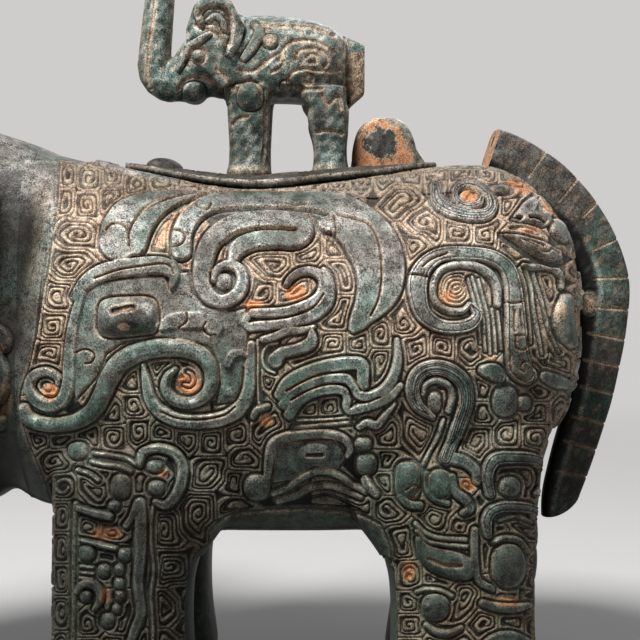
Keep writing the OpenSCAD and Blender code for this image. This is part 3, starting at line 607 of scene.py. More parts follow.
flank.band((-22.9, 94.5, 0.9), (-24.2, 90, 1.1), (-25.2, 85, 1.2), (-25.7, 79, 1.3), (-25.9, 74.5, 1.4),
           (-27.2, 71, 1.4), (-30, 69.6, 1.4), (-33, 70.8, 1.3), (-34.6, 73.6, 1.2), (-33.5, 76.3, 1.1),
           (-30.8, 77.1, 1.0), (-28.4, 75.9, 0.8), (-28.2, 74.4, 0.5))
flank.soil(-30, 72.6, 2.6, 2.4)
flank.cut((-24.3, 81.4), (-23, 82), (-21.4, 81.8), (-20.4, 80.6), (-21, 79.2), (-22.4, 78.9))
flank.band((-36, 69, 1.2), (-34.6, 66.8, 1.5), (-31.6, 65.7, 1.6), (-28, 65.5, 1.6), (-24, 66.3, 1.7),
           (-20.6, 68.6, 1.9), (-18.6, 72, 2.0), (-17, 75.6, 2.1), (-15, 78.7, 2.2), (-12, 80.8, 2.2),
           (-8.4, 82, 2.1), (-4, 82.4, 2.0), (0, 82, 1.9), (3.4, 80.5, 1.8), (5.2, 77.8, 1.7),
           (5.5, 75, 1.6), (4.5, 72.4, 1.4), (2.3, 70.7, 1.3), (-0.5, 70.2, 1.3), (-3.2, 71.2, 1.3),
           (-4.7, 73.5, 1.2), (-4.2, 76, 1.0), (-2.6, 77.6, 0.6), high=2.1, soft=1.5)
flank.soil(0.3, 74.4, 3.6, 3.2)
flank.thread((-0.6, 74.2), (0.6, 74), (1.4, 75), (1, 76.4), (0.2, 77))
flank.band((-9.6, 78.5, 0.5), (-8.9, 75, 1.0), (-8, 71, 1.3), (-5.8, 68.3, 1.5), (-2, 66.6, 1.6),
           (3, 66.2, 1.6), (8, 66.9, 1.6), (11.8, 69.2, 1.6), (13.6, 73, 1.4), (14, 78, 1.2),
           (14.2, 83, 0.9))
flank.cut((-5.6, 68.4), (-2, 67), (3, 66.7), (8, 67.6), (10.6, 69.4))
flank.band((9, 78.6, 0.9), (9.9, 80.6, 1.1), (11.6, 81.3, 0.9), (13.2, 80.5, 0.5))
flank.boss(9.6, 72.6, 1.5, 1.4, high=0.9)
flank.field((6.5, 70), (10.5, 70.5), (12, 74), (12.5, 84), (8.5, 91), (3.5, 91), (2, 84.6), (5.5, 82.4),
            (7.2, 79), (7.4, 74))
flank.band((-6, 87, 1.0), (-3, 88.2, 1.8), (0.5, 88.4, 2.0), (4, 88.3, 1.9), (6.6, 87.2, 1.2),
           (6.9, 85.9, 0.9), (5.4, 85.6, 0.8), (4.6, 86.6, 0.5), high=1.1)
flank.cut((0, 90), (0, 88.2), (-1.8, 86.7))
flank.cut((4.2, 88), (3.6, 86.7), (4.6, 85.3), (6.4, 85.2))
# big horn, its inner scroll, and the panel of thread that they hold
flank.band((-1.2, 103.6, 2.2), (-1, 107.5, 2.3), (1.2, 111.3, 2.2), (5.5, 113.7, 1.9), (12, 114.4, 1.75),
           (20, 114.4, 1.75), (28, 114.2, 2.0), (34, 113, 2.6), (39, 110.6, 2.8), (43, 107, 2.8),
           (45.2, 102.5, 2.7), (45.6, 98, 2.5), (44.6, 94, 2.2), (42.4, 90.8, 1.5), (40.6, 88.6, 0.7))
flank.band((30.6, 109.3, 1.6), (33.8, 109, 2.6), (37, 107.2, 3.6), (39.2, 104, 3.9), (40.2, 100, 3.1),
           (40.4, 96.5, 2.7), (39.9, 92.5, 2.6), (38.5, 89, 2.3), (36.8, 86.6, 1.0), high=1.15)
flank.cut((33.4, 111), (36.5, 110.3), (39.8, 109.2), (41.8, 106.6), (42.8, 102.5), (43, 97.5), (42.3, 93),
          (40.6, 89.4))
flank.cut((32.3, 105), (32.9, 107.5), (32.6, 110.5))
flank.cut((28.6, 108.6), (30, 107.4), (32, 107.2))
flank.cut((-3.6, 108), (-1.4, 107.6), (-0.4, 106.2), (-1.4, 104.7), (-3.4, 104.4), w=0.28)
flank.cut((2, 113), (4.4, 112.2), (5.4, 113.6), w=0.28)
flank.cut((22, 113.6), (24, 113.1), (26.4, 113.4), w=0.28)
flank.band((10.2, 101.6, 1.2), (11.4, 104, 1.9), (15, 105.6, 1.9), (20, 105.9, 1.9), (24, 105.8, 1.8),
           (26.3, 107.3, 1.7), (25.6, 109.4, 1.8), (21, 110.1, 1.9), (15, 110, 1.9), (9.5, 108.7, 2.1),
           (5.8, 106, 2.2), (4, 102.2, 2.2), (3.4, 98, 2.1), (4.2, 94.6, 1.9), (6.6, 92.7, 1.5),
           (9.4, 92.9, 1.5), (11.7, 94.8, 1.5), (12.3, 97.6, 1.4), (11.2, 99.8, 1.2), (8.6, 100.4, 1.0),
           (6.6, 99.3, 0.9), (5.9, 97.4, 0.8), high=1.5, soft=0.5)
flank.boss(8, 97, 1.9, 1.8, high=1.2)
flank.cut((24, 108), (19, 108), (14.5, 107.8), (11, 107), (9, 105.3), (8.1, 103), (8, 101.4), w=0.3,
          deep=0.8, earth=0.45)
flank.cut((5.2, 98.6), (5.3, 96.4), (6.6, 94.7), (8.6, 94.5), (10, 95.6), (10.1, 97.2), deep=0.9)
flank.band((14.6, 90, 1.0), (18, 90, 1.1), (22, 90.3, 1.15), (26, 91.4, 1.3), (29, 93, 1.4),
           (30.4, 95.5, 1.4), (29.8, 97.8, 1.2), (27.6, 99.1, 1.0), (25, 98.9, 0.9), (23, 97.6, 0.8),
           (22, 96.3, 0.6), high=1.4)
flank.band((13.4, 89.3, 0.8), (12.8, 88, 0.9), (13.6, 87, 1.0), (16, 87.2, 1.1), (20, 87.5, 1.15),
           (24, 88.2, 1.2), (28, 89.6, 1.3), (31, 92, 1.2), (31.9, 95, 0.9), (31.5, 98, 0.7),
           (30.2, 99.6, 0.5))
flank.cut((16, 88.7), (20, 88.8), (24, 89.6), (28, 91.3), (30.2, 94))
flank.soil(24, 94.4, 3.2, 2.6)
flank.soil(14.5, 91.8, 3, 1.6)
flank.silt((-6.4, 104.6, 1.0), (-5.8, 106, 1.4), (-4.8, 107.6, 1.3), (-3.4, 109.8, 1.2), (-1, 112.4, 1),
           (2, 114.6, 0.8), (5, 115.8, 0.5), share=0.8)
# lesser beasts below: small head, long dragon with its frames, mask along the belly
flank.band((19.6, 79.6, 1.7), (21, 81.2, 1.3), (24.5, 82, 1.3), (27.4, 83.5, 1.4), (27.6, 85.8, 0.8))
flank.band((16.8, 84.2, 0.8), (19.5, 84.9, 0.9), (22, 86, 0.9), (25.5, 86.3, 0.8), (28, 87, 0.5))
flank.thread((15.6, 84), (15.7, 80), (15.6, 76), (15.8, 71), (16, 70))
flank.thread((20, 83.4), (18, 83), (16.9, 81.5), (16.7, 79.4), (17.6, 77.6), (19.4, 76.8))
flank.band((20.6, 72, 1.3), (22.4, 74.6, 1.5), (26, 76.6, 1.6), (31, 78.2, 1.6), (36, 79, 1.5),
           (38.6, 78.4, 1.5), (38.9, 76, 1.4), (39, 74.2, 1.2), high=1.5)
flank.band((21.4, 70, 1.3), (24, 72.6, 1.2), (28, 74.6, 1.2), (32, 75.6, 1.2), (35.3, 75.6, 1.2),
           (36.8, 74, 1.1), (37.9, 72.2, 1.1), (40.4, 71.7, 1.2), (43.4, 73, 1.3), (45.6, 76, 1.2),
           (46.6, 80, 1.0), (46.4, 84, 0.6), high=1.5)
flank.band((22.6, 67.8, 1.3), (24.6, 70.6, 1.2), (28, 72.6, 1.2), (32, 73.4, 1.2), (34.5, 73, 1.1),
           (35.4, 71.4, 1.0), (35.2, 69.6, 0.9), (36, 68.5, 0.8), (39, 69.4, 1.1), (42, 70.3, 1.1),
           (45, 71.8, 1.0), (47, 74, 0.8), high=1.5)
flank.cut((22, 73), (25, 74.7), (29, 76.4), (33, 77), (36, 76.6), (37.4, 74.6), (38.4, 73), deep=0.9)
flank.cut((23, 71), (26, 72.7), (30, 74.2), (33.4, 74.4), (35.6, 73.4), (36.6, 71.2), (39, 70.4),
          (42.6, 71.6), deep=0.9)
flank.band((17.8, 69.4, 0.7), (15.4, 68.6, 0.8), (14.6, 67.2, 0.7))
flank.soil(17.5, 66.4, 2, 1.8)
flank.thread((24.4, 66.4), (30, 66.5), (36, 67))
flank.thread((23.4, 64.7), (30, 65.3), (36.8, 66), w=0.5)
flank.boss(15.4, 51.8, 2.9, 2.9, high=1.9)
flank.band((17.8, 54.5, 0.9), (18.2, 58, 1.1), (18.9, 61, 1.2), (21.5, 62.6, 1.2), (26, 63.3, 1.0),
           (31, 63.4, 1.0), (34.5, 62.5, 0.9), (36, 60.4, 0.8), (35.4, 58.7, 0.5))
flank.field((19.4, 60.5), (22, 61.6), (33, 62), (35, 58), (33, 55.4), (28, 56.4), (23.5, 53.4), (19, 52.6),
            high=0.4)
flank.boss(28.2, 59.3, 3.8, 2.5, high=1.5)
flank.cut((26.6, 59.1), (29.8, 59.2), w=0.5, deep=0.9)
flank.band((19, 50.4, 0.6), (22, 51.6, 0.7), (25, 53.6, 0.75), (28, 55.1, 0.75), (31, 55.2, 0.75),
           (34, 54.1, 0.75), (37, 52, 0.7), (39.6, 50.4, 0.6), high=1.0, soft=0.7)
flank.band((20, 48.6, 0.6), (24, 49.9, 0.7), (27, 51.5, 0.7), (31, 52.1, 0.7), (35, 51, 0.7),
           (38.6, 49.2, 0.6), high=0.8, soft=0.7)
flank.boss(39.7, 56.6, 2.3, 2.5, high=1.5)
flank.boss(38.9, 61.2, 1.9, 1.5, high=1.2)
flank.band((39.6, 53.6, 0.9), (40.6, 51.4, 1.0), (42, 50, 0.8))
flank.band((38, 65, 0.7), (39.8, 66, 0.9), (42, 65.4, 0.9), (43.6, 67.4, 0.8), (45.8, 70, 0.5))
flank.cut((6, 44.2), (8.6, 45.4), (12, 46.4), (18, 47), (26, 47.2), (34, 46.7), (39, 45.7), (43, 43.6))
flank.field((5, 35), (5, 42), (8, 44.7), (12, 45.8), (18, 46.4), (26, 46.6), (34, 46.1), (39, 45),
            (43, 43), (45, 38), (45, 35), high=0.1, soft=0.4)
# rump: great coil with hanging feathers, oval coil above, commas and leaves towards the tail
flank.band((74.6, 76.4, 2.2), (73.4, 77.8, 2.7), (72.7, 81, 2.4), (72.5, 85, 2.3), (72.3, 89, 2.1),
           (72, 93, 1.9), (71.6, 96.8, 1.7), (70.2, 100.2, 1.6), (66.6, 102.4, 1.5), (61, 103, 1.5),
           (56, 102.6, 1.6), (52.6, 100.4, 1.9), (51, 97, 2.2), (51.2, 93, 2.0), (52.4, 89.6, 1.8),
           (55.4, 87.4, 1.5), (59, 86.9, 1.4), (62.4, 87.6, 1.4), (64, 89.6, 1.1), (62.8, 91.6, 0.7),
           high=1.4, soft=0.4, lines=(0.6,))
flank.band((68.6, 92, 0.8), (68.4, 95.5, 0.9), (66.8, 98.5, 1.0), (63.4, 100.4, 0.9), (59, 100.6, 0.8),
           (56, 99.4, 0.8), (54.6, 97, 0.8), (54.4, 94, 0.8), (55.6, 91.6, 0.8), (58.3, 90.4, 0.8),
           (61, 90.6, 0.7), (62.4, 92, 0.5), high=1.4, soft=0.8)
flank.cut((49, 98.4), (51, 98.2), (53.6, 97.8))
flank.cut((52, 100), (54, 101.6), (57.4, 102.9), w=0.28)
flank.soil(58.3, 94.8, 4.4, 4.4, 0.72)
flank.soil(57.6, 93.6, 2.6, 2.2, 0.88)
for x, high_end, low_end in ((64.4, 97.6, 83.4), (65.5, 98, 81.6), (66.6, 97.4, 81), (67.8, 91, 81.4),
                             (69, 90.4, 82)):
    start = (x - 0.02 * (high_end - 87) ** 2, high_end)
    flank.thread(start, (x - 0.2, 90), (x + 0.2, 86), (x + 0.5, low_end), w=0.27, high=0.5)
flank.soil(67.1, 80.3, 1.9, 1.1, 0.8)
flank.cut((69.9, 92.4), (71.6, 92.2), (73.4, 92.5), earth=0.4)
flank.cut((71.8, 90.6), (71.8, 88), (71.9, 86), earth=0.6)
flank.cut((73, 90.8), (73.3, 88), (73.6, 86.2), earth=0.6)
flank.cut((72, 85.2), (74.3, 85), (74.4, 82.4), (72.3, 82.3), (72, 85.2), earth=0.6)
flank.cut((70.9, 80.6), (71.3, 77.4), (72.6, 75.8), (74.4, 75.3), (75.7, 76.4), (75.8, 78.2), (74.8, 79.4),
          (73.5, 79.2), (73, 78), (73.7, 77.2), earth=0.75)
for line in (((73.4, 100), (74.7, 96), (75.2, 92), (75.7, 87), (75.9, 83.4)),
             ((74.8, 99.4), (76, 96), (76.6, 91), (77.5, 86), (78.4, 81)),
             ((76.4, 98.8), (78, 94), (79, 90), (80, 86), (82, 81.4))):
    flank.thread(*line, w=0.3, high=0.5)
flank.band((55, 117.5, 1.2), (55.6, 114.4, 1.5), (58.4, 112.4, 1.4), (62.4, 111.4, 1.3), (66, 111.6, 1.3),
           (67.4, 113.4, 1.2), (66.6, 116, 1.0), (64, 117.9, 0.9), (61, 118, 0.8), (59.3, 116.4, 0.7),
           (59.8, 114.4, 0.7), (62, 113.4, 0.7), (64.6, 113.9, 0.7), (65.2, 115.2, 0.5), soft=0.5,
           lines=(0.45, 1.0))
flank.soil(62.6, 115.7, 2.6, 2.2)
flank.boss(69, 117, 2.3, 0.9, high=1.3)
flank.field((69, 107.4), (73, 107.2), (78, 105.8), (82, 103.6), (82.4, 101.8), (80, 101.2), (76.4, 102.8),
            (72, 105.8), high=1.5)
flank.cut((69.2, 106.8), (72, 105), (76.2, 102), (80, 100.4), (82.6, 100.8), w=0.6, deep=0.8, earth=0.03)
flank.cut((73.6, 106), (76.2, 104.8), (77.6, 103.4), (79, 103.4), (79.8, 104), (81.2, 103), earth=0.5)
flank.cut((75, 106), (77.2, 105), (78, 104.6))
flank.field((71.6, 110.6), (74.4, 114.4), (76.2, 115.6), (78.8, 112.8), (81.2, 109.6), (78.4, 109),
            (75, 110), high=1.1)
flank.boss(76.3, 113, 0.8, 1.4, high=1.7, turn=-20)
flank.cut((77.6, 113.4), (78.4, 112.2), w=0.5, deep=1, earth=0.03)
flank.cut((75.4, 110.9), (77, 110.7), (78.6, 109.8), w=0.45, deep=1, earth=0.03)
flank.cut((72, 111.1), (73.6, 110.7), w=0.4, deep=1, earth=0.03)
flank.boss(82.4, 108.2, 2, 2.9, high=1.9, turn=40)
flank.soil(73.6, 118, 4.4, 2.6, 0.92)
flank.soil(80.4, 113.4, 2.6, 2.4, 0.9)
flank.soil(75.5, 108.2, 3.4, 1.1, 0.85)
flank.band((83.4, 93, 1.5), (82.8, 89.6, 2.1), (83.4, 86, 2.0), (84.6, 83.4, 1.2), high=1.6, soft=1.4)
flank.soil(81.4, 90.4, 1.4, 2.6, 0.68)
flank.band((74.2, 100.6, 0.5), (75.4, 100.2, 0.7), (80, 100, 0.7), (82, 98.4, 0.7), (82.4, 95.6, 0.5),
           soft=0.7)
# behind the belly: comma that runs down to the thigh, and the beasts' heads on the hind leg
flank.band((54.2, 67.2, 0.7), (51, 69.6, 1.3), (49.9, 73, 1.6), (51, 76.4, 1.7), (54.2, 78, 1.7),
           (58, 77.3, 1.7), (61, 74.6, 1.7), (61.6, 70.6, 1.6), (60.2, 66, 1.6), (58.6, 61.5, 1.5),
           (57.2, 57.6, 1.5), high=1.5, soft=0.5, lines=(0.4, 0.85, 1.3))
flank.band((57.8, 68.5, 0.7), (58.6, 71.6, 0.8), (57.6, 74.2, 0.8), (55, 75.3, 0.8), (52.6, 74.2, 0.7),
           (52.2, 72.2, 0.6), soft=0.8)
flank.boss(54.7, 70.4, 1.5, 2.2, high=0.9)
flank.thread((56.6, 66.4), (55.4, 63), (53.8, 59.6), (52.4, 56.4), w=0.5, high=0.9)
flank.band((65.4, 77.4, 1.2), (67.6, 77, 1.9), (69, 76, 1.2))
flank.boss(70.2, 70.6, 2.8, 3.4, high=1.2)
flank.boss(74.4, 70.2, 1.4, 1.6, high=1.3)
flank.band((79, 76, 1.2), (81.4, 75, 1.5), (83.6, 74.4, 1.2), high=0.6)
flank.boss(56, 52, 2.8, 3.4, high=2.0)
flank.boss(48.9, 52.8, 2.8, 4.2, high=1.5, power=3)
flank.cut((48.6, 51), (50, 52), (51.4, 51.4), (50.4, 50), (49.4, 49), earth=0.7)
flank.band((47.4, 49.4, 0.8), (49, 47.8, 0.9), (51.6, 47.4, 0.8))
flank.band((59, 57.6, 1.3), (61.4, 57, 1.3), (63.6, 55.2, 1.2), (64.2, 52.8, 0.9))
flank.band((58.6, 53.6, 0.9), (59.4, 50.4, 1.0), (61.6, 48.6, 1.1), (62.6, 46.8, 1.0), (61, 45.8, 0.7))
flank.band((53, 54.4, 0.6), (53.2, 51, 0.7), (54.8, 48.8, 0.7), (57.6, 48, 0.7), soft=0.7)
flank.soil(62, 52, 2.4, 2)
flank.band((66.8, 50, 1.0), (66.2, 54, 1.2), (67.6, 57.4, 1.4), (71.5, 58.1, 1.4), (76, 57.8, 1.3),
           (77.9, 55.5, 1.0), (77.9, 52, 0.8), (76.6, 50, 0.6), high=1.8, lines=(0.55,))
flank.cut((68, 52.6), (68.1, 55.3), (70, 56.4), (73, 56.6), (76.4, 56.4), earth=0.5)
flank.boss(71.2, 51.6, 2.3, 2.2, high=1.3)
flank.band((66.4, 41, 0.9), (66.2, 44.6, 1.2), (68, 46.8, 1.2), (72, 47.2, 1.2), (75.6, 46.6, 1.1),
           (76.4, 44.6, 0.8), high=1.7, lines=(0.55,))
flank.thread((69, 44.2), (71, 44.9), (73.4, 45), (76, 43.8), w=0.45)
flank.boss(70.8, 34.2, 3.6, 4.9, high=2.3)
flank.band((67.6, 39.4, 0.6), (70, 40.2, 0.7), (73, 39.6, 0.7), (74.8, 37.4, 0.6), soft=0.7)
flank.band((51.4, 40, 0.8), (52.6, 37.6, 1.6), (55, 35.6, 2.6), (58.6, 34.4, 3.0), (61.4, 33.6, 2.6),
           high=1.7, soft=1.6)
flank.thread((50.6, 43.4), (52.6, 41.4), (56, 40.2), (61.6, 39.9), w=0.55, high=0.9)
flank.thread((51, 41.8), (53.4, 39.5), (57, 38.8), (61.8, 38.4), w=0.55, high=1.0)
flank.cut((53.8, 36), (57, 34.5), (60.5, 34.3), w=0.5, earth=0.9)
flank.boss(55, 25, 3, 3, high=1.8)
flank.boss(53.6, 25.6, 1.4, 1.4, high=2.3)
flank.thread((51, 28.4), (53, 29), (56, 28.7), (58.6, 27.4), w=0.5, high=0.9)
flank.band((53, 21, 0.6), (55, 19.6, 0.8), (58, 19.2, 0.8), (60.6, 20.4, 0.6), soft=0.7)
flank.band((63.6, 42, 0.8), (63.6, 36, 0.9), (64.4, 31, 0.8), (67.4, 29, 0.7))
flank.band((65.4, 25.8, 0.9), (68.4, 25, 1.0), (72, 24.8, 1.0), (74.8, 25.4, 0.7))
flank.soil(70.6, 26.4, 3.6, 1.7, 0.84)
flank.soil(49.2, 33, 1.8, 3.4)
flank.band((64, 14, 0.8), (67, 17.4, 1.2), (71, 18.6, 1.2), (75, 17, 1.0))
# front leg: a beast's head with open jaws, its body down the leg, and columns of thread at both edges
flank.thread((-20.6, 58.9), (-17, 58.4), (-13.5, 57.7), (-11.4, 56.4), w=0.5, high=0.9)
flank.thread((-21, 57.1), (-18, 56.4), (-15, 56), (-12.4, 54.9), w=0.5, high=0.9)
flank.thread((-24, 55.3), (-21.4, 54.4), (-19.6, 53), w=0.5, high=0.9)
flank.boss(-24, 59.5, 2.1, 1.9, high=1.2)
flank.boss(-14.6, 51.6, 2.2, 2.7, high=1.7)
flank.band((-10.5, 56.4, 0.8), (-9.6, 59, 1.1), (-6.5, 60.2, 1.2), (-3, 59.2, 1.3), (-1.2, 56.4, 1.3),
           (-1.2, 53, 1.3), (-2.6, 49.6, 1.2), (-4.8, 47.6, 1.0), (-7, 48.2, 0.7), high=1.6)
flank.boss(-6.8, 51.4, 1.8, 1.6, high=1.4)
flank.boss(-7.2, 56, 1.7, 1.3, high=1.2)
flank.soil(-5.4, 54.4, 1.4, 1.4)
flank.band((-23.6, 46.8, 0.7), (-20, 45.7, 0.9), (-17, 45, 0.9), high=1.8)
flank.boss(-16.1, 47.3, 1.3, 1.2, high=1.4)
flank.soil(-17.8, 41.2, 4.4, 2.2)
flank.band((-23.4, 39.8, 0.5), (-19, 38.7, 0.7), (-15.8, 38, 0.6), high=1.3, soft=0.6)
flank.boss(-22, 37, 1.8, 1.8, high=1.5)
flank.boss(-13.8, 36.6, 1.5, 1.5, high=1.4)
flank.band((-13.4, 43, 0.8), (-12, 45, 0.8), (-10.4, 48, 1.2), (-10.2, 42, 1.4), (-10.4, 36, 1.3),
           (-10.8, 30, 1.2), (-10.2, 24, 1.1), (-11.6, 20, 1.0), (-13, 16, 0.8), high=1.1)
flank.band((-24, 28.4, 0.6), (-23, 30, 0.8), (-21, 30.2, 0.9), (-19.4, 28.8, 0.9), (-19.2, 26.6, 0.8),
           (-20.4, 24.6, 0.5), high=1.4)
flank.boss(-22.2, 27.4, 1.4, 1.4, high=1.2)
flank.soil(-18, 27.6, 1.3, 2.2)
for z in (34, 32.6, 31.4):
    flank.thread((-23.6, z), (-20.8, z - 0.3), w=0.4)
for x, z, r in ((-15, 33.2, 1.2), (-15, 30.2, 1.2), (-14.8, 27.4, 1.2), (-17.6, 22, 1.5), (-15.6, 24.6, 1),
                (-18.4, 33, 1.4)):
    flank.boss(x, z, r, r * 1.1, high=1.1)
flank.thread((-7.6, 47), (-8, 40), (-7.4, 33), (-8, 28), (-7.6, 20), (-8, 12), w=0.4)
flank.thread((-24.6, 48), (-24.9, 40), (-25, 32), (-25, 22), (-25.4, 12), w=0.4)
# lines under the lid's edge
flank.cut((5, 117.3), (12, 117.5), (25, 117.5), (35, 117.6), (41, 118.2), w=0.28, deep=0.5)
flank.cut((6, 116.4), (20, 116.7), (33, 116.8), (40, 117), w=0.28, deep=0.5)
neck_line = [(neck_edge(z) - 0.5, z) for z in (126, 115, 108, 102, 97, 86, 78, 74, 71, 65, 61, 56, 52, 48)]
flank.field((-46, 30), (-46, 130), *neck_line, (-30, 30), high=0.05, soft=0.3)
hind_leg = ramp(flank.x, 42, 50) * ramp(flank.z, 67, 59)
# more earth in the ground higher up, on the hind leg and low on the front leg; lower down the ground gets
# less earth and darker gaps, partly painted shade of the lower body and partly darker patina
earth_share = np.clip((flank.z - 40) / 50, 0.3, 1) + 0.34 * hind_leg
earth_share = earth_share + 0.16 * ramp(flank.x, 6, -2) * ramp(flank.z, 60, 50)
flank.fill([(-21.4, 119.8), (-22.2, 113.7), (-23.9, 107.6), (-25.4, 100.4), (-27.5, 93.6), (-29.4, 86.8),
            (-29.9, 80.9), (-11.5, 117.5), (-11.4, 75), (-12, 69.6), (-16, 63), (-10.5, 64), (19.4, 99.6),
            (17.4, 94.8), (32.6, 83.2), (37.8, 83.4), (42.8, 85.4), (47.6, 87.4), (43, 79), (31.3, 68.8),
            (26.8, 68.6), (5.4, 55.4), (5.2, 61.6), (12.6, 58.6), (50.2, 64.3), (50.6, 82.2), (56.8, 82),
            (61.6, 82), (48, 115.5), (52.8, 109.8), (60.8, 108), (65.6, 107.2), (58.3, 94.9), (64.4, 62.4),
            (70.5, 63.8), (66, 68), (78.6, 97), (75.2, 52.9), (55.4, 44.8), (-26.2, 51.6), (-26.8, 45.2),
            (-29, 57.6), (2, 45.5), (-4, 34), (-4.3, 24.5), (-4.4, 16), (-26.6, 38), (-27, 31), (-27, 24),
            (48.6, 39.5), (69.4, 28.4), (-14.2, 21.8)], earth_share=earth_share)
# painted shade in the hollow of the neck
neck_shadow = ramp(neck_edge(flank.z) - flank.x, 2.6, 6) * ramp(flank.z, 122, 114)
lift(flank.dark, 0.5 * neck_shadow)
flank.bake()
# painted shade on the eye's lower slope and a painted highlight on its upper corner; darker too around the
# second coil and on the hind leg's raised shapes
in_eye = ramp(np.hypot((flank.x - mask_eye[0]) / 7, (flank.z - mask_eye[1]) / 5), 1.1, 0.9)
shaded_under_eye = in_eye * ramp(flank.z, 90.2, 87.6) * (flank.earth < 0.3)
glint = in_eye * ramp(np.hypot((flank.x + 8.2) / 1.5, (flank.z - 91) / 2), 1, 0.4)
by_second_coil = ramp(np.hypot((flank.x - 74) / 8, (flank.z - 76) / 8.4), 1.2, 0.6)
on_hind_leg = hind_leg * ramp(flank.top, 0.75, 1.15)
flank.shade = np.max([0.62 * shaded_under_eye, 0.42 * by_second_coil, 0.36 * on_hind_leg], 0)
lift(flank.highlight_and_wear, glint)


# Relief sheets: the outer face of the casting with its ornament. A fine grid is pressed on to the skin
# from one side, raised by the drawing, and let sink into the skin along its rim.
side_axes = {"left": (0, 2, 1, 1), "right": (0, 2, 1, -1), "top": (0, 1, 2, -1), "rear": (1, 2, 0, -1),
             "front": (1, 2, 0, 1)}


def keep_looks(piece, cast):
    layer = piece.data.color_attributes.new("cast", "FLOAT_COLOR", "POINT")
    layer.data.foreach_set("color", cast.ravel())


def relief_sheet(name, side, low, high, step, ornament, keep, turned=None):
    across, up, depth, along = side_axes[side]
    far_off, smear, sunk_rim = 0.4, 4, 0.35
    counts = [int(round((h - l) / step)) for l, h in zip(low, high)]
    bpy.ops.object.select_all(action="DESELECT")
    bpy.ops.mesh.primitive_grid_add(x_subdivisions=counts[0], y_subdivisions=counts[1], size=1)
    sheet = bpy.context.object
    sheet.name = sheet.data.name = name
    grid = points_of(sheet)
    flip = -1 if side in ("right", "front") else 1
    points = np.empty_like(grid)
    points[:, across] = flip * grid[:, 0] * (high[0] - low[0]) + (low[0] + high[0]) / 2
    points[:, up] = grid[:, 1] * (high[1] - low[1]) + (low[1] + high[1]) / 2
    points[:, depth] = -along * far_off
    points[:, [across, up]] *= 0.001
    move_points(sheet, points)
    press = sheet.modifiers.new("press", "SHRINKWRAP")
    press.target = skin
    press.wrap_method = "PROJECT"
    for axis in range(3):
        setattr(press, "use_project_" + "xyz"[axis], axis == depth)
    press.use_positive_direction, press.use_negative_direction = along > 0, along < 0
    bpy.ops.object.modifier_apply(modifier=press.name)
    order = np.lexsort((points[:, across], points[:, up]))
    shape = (counts[1] + 1, counts[0] + 1)
    p = points_of(sheet)[order].reshape(shape + (3,)) * 1000
    good = (np.abs(p[..., depth] + along * far_off * 1000) > 1) & keep(p)
    slope = np.stack(np.gradient(np.where(good, p[..., depth], np.nan), step), -1)
    good &= np.nan_to_num(1 / np.sqrt(1 + (slope ** 2).sum(-1)), nan=0.0) > 0.3
    weight = good.astype(float)
    share = np.maximum(blurred(weight, smear), 1e-6)
    for _ in range(2):
        level = blurred(np.where(good, p[..., depth], 0), smear) / share
        p[..., depth] = np.where(good, level, p[..., depth])
    dv, du = np.gradient(p[..., depth], step)
    normal = np.empty_like(p)
    normal[..., depth], normal[..., across], normal[..., up] = -along, along * du, along * dv
    normal /= np.linalg.norm(normal, axis=-1, keepdims=True)
    if turned is not None:
        good &= turned(normal)
        weight = good.astype(float)
    rim = np.clip((blurred(weight, smear) - 0.55) / 0.4, 0, 1)
    rise, deep_shade, earth, highlight_and_wear, shade = ornament(p, normal)
    p += normal * (-sunk_rim + 0.5 * np.clip(rim * 2, 0, 1) + rise * rim)[..., None]
    placed = np.empty((good.size, 3))
    placed[order] = p.reshape(-1, 3) * 0.001
    move_points(sheet, placed)
    cast = np.zeros((good.size, 4), np.float32)
    cast[order] = np.stack([deep_shade, earth, highlight_and_wear, shade], -1).reshape(-1, 4)
    keep_looks(sheet, cast)
    drop = np.zeros(good.size, bool)
    drop[order] = ~good.ravel()
    pick(sheet, "vertices", drop)
    bpy.ops.object.mode_set(mode="EDIT")
    bpy.ops.mesh.select_mode(type="VERT")
    bpy.ops.mesh.delete(type="VERT")
    bpy.ops.object.mode_set(mode="OBJECT")
    bpy.ops.object.shade_smooth()
    return sheet


def flank_ornament(p, normal):
    x, z = in_sight(p, flank_plane)
    rise, deep_shade, earth, highlight_and_wear = flank.looks(x, z)
    inward, up = neck_edge(z) - x, normal[..., 2]
    # painted shade: the neck darkens into its hollow, the front leg low down, and faces turned upwards, which
    # the lamp above lights already
    neck = 0.5 * ramp(inward, -0.4, 1.2) * ramp(z, 117, 110) + 0.44 * ramp(inward, 1.5, 5)
    shade = np.max([flank.read(flank.shade, x, z), 0.65 * ramp(z, 66, 44) * ramp(x, 10, -6),
                    neck * ramp(z, 126, 120), 0.5 * ramp(inward, 3, 9.5), 0.55 * ramp(up, 0.45, 0.85)], 0)
    # painted highlight on the neck's ridge; faces turned upwards keep less highlight
    lit_neck_ridge = ramp(inward, -1, 1) * ramp(inward, 4, 2) * ramp(z, 108, 114)
    highlight_and_wear = np.maximum(highlight_and_wear, 0.3 * lit_neck_ridge) * (1 - 0.8 * ramp(up, 0.35, 0.7))
    neck_soil = ramp(inward, 1, 3) * ramp(inward, 8, 4) * ramp(z, 84, 100) * ramp(z, 122, 114)
    return rise, deep_shade, np.maximum(earth, 0.2 * neck_soil), highlight_and_wear, shade


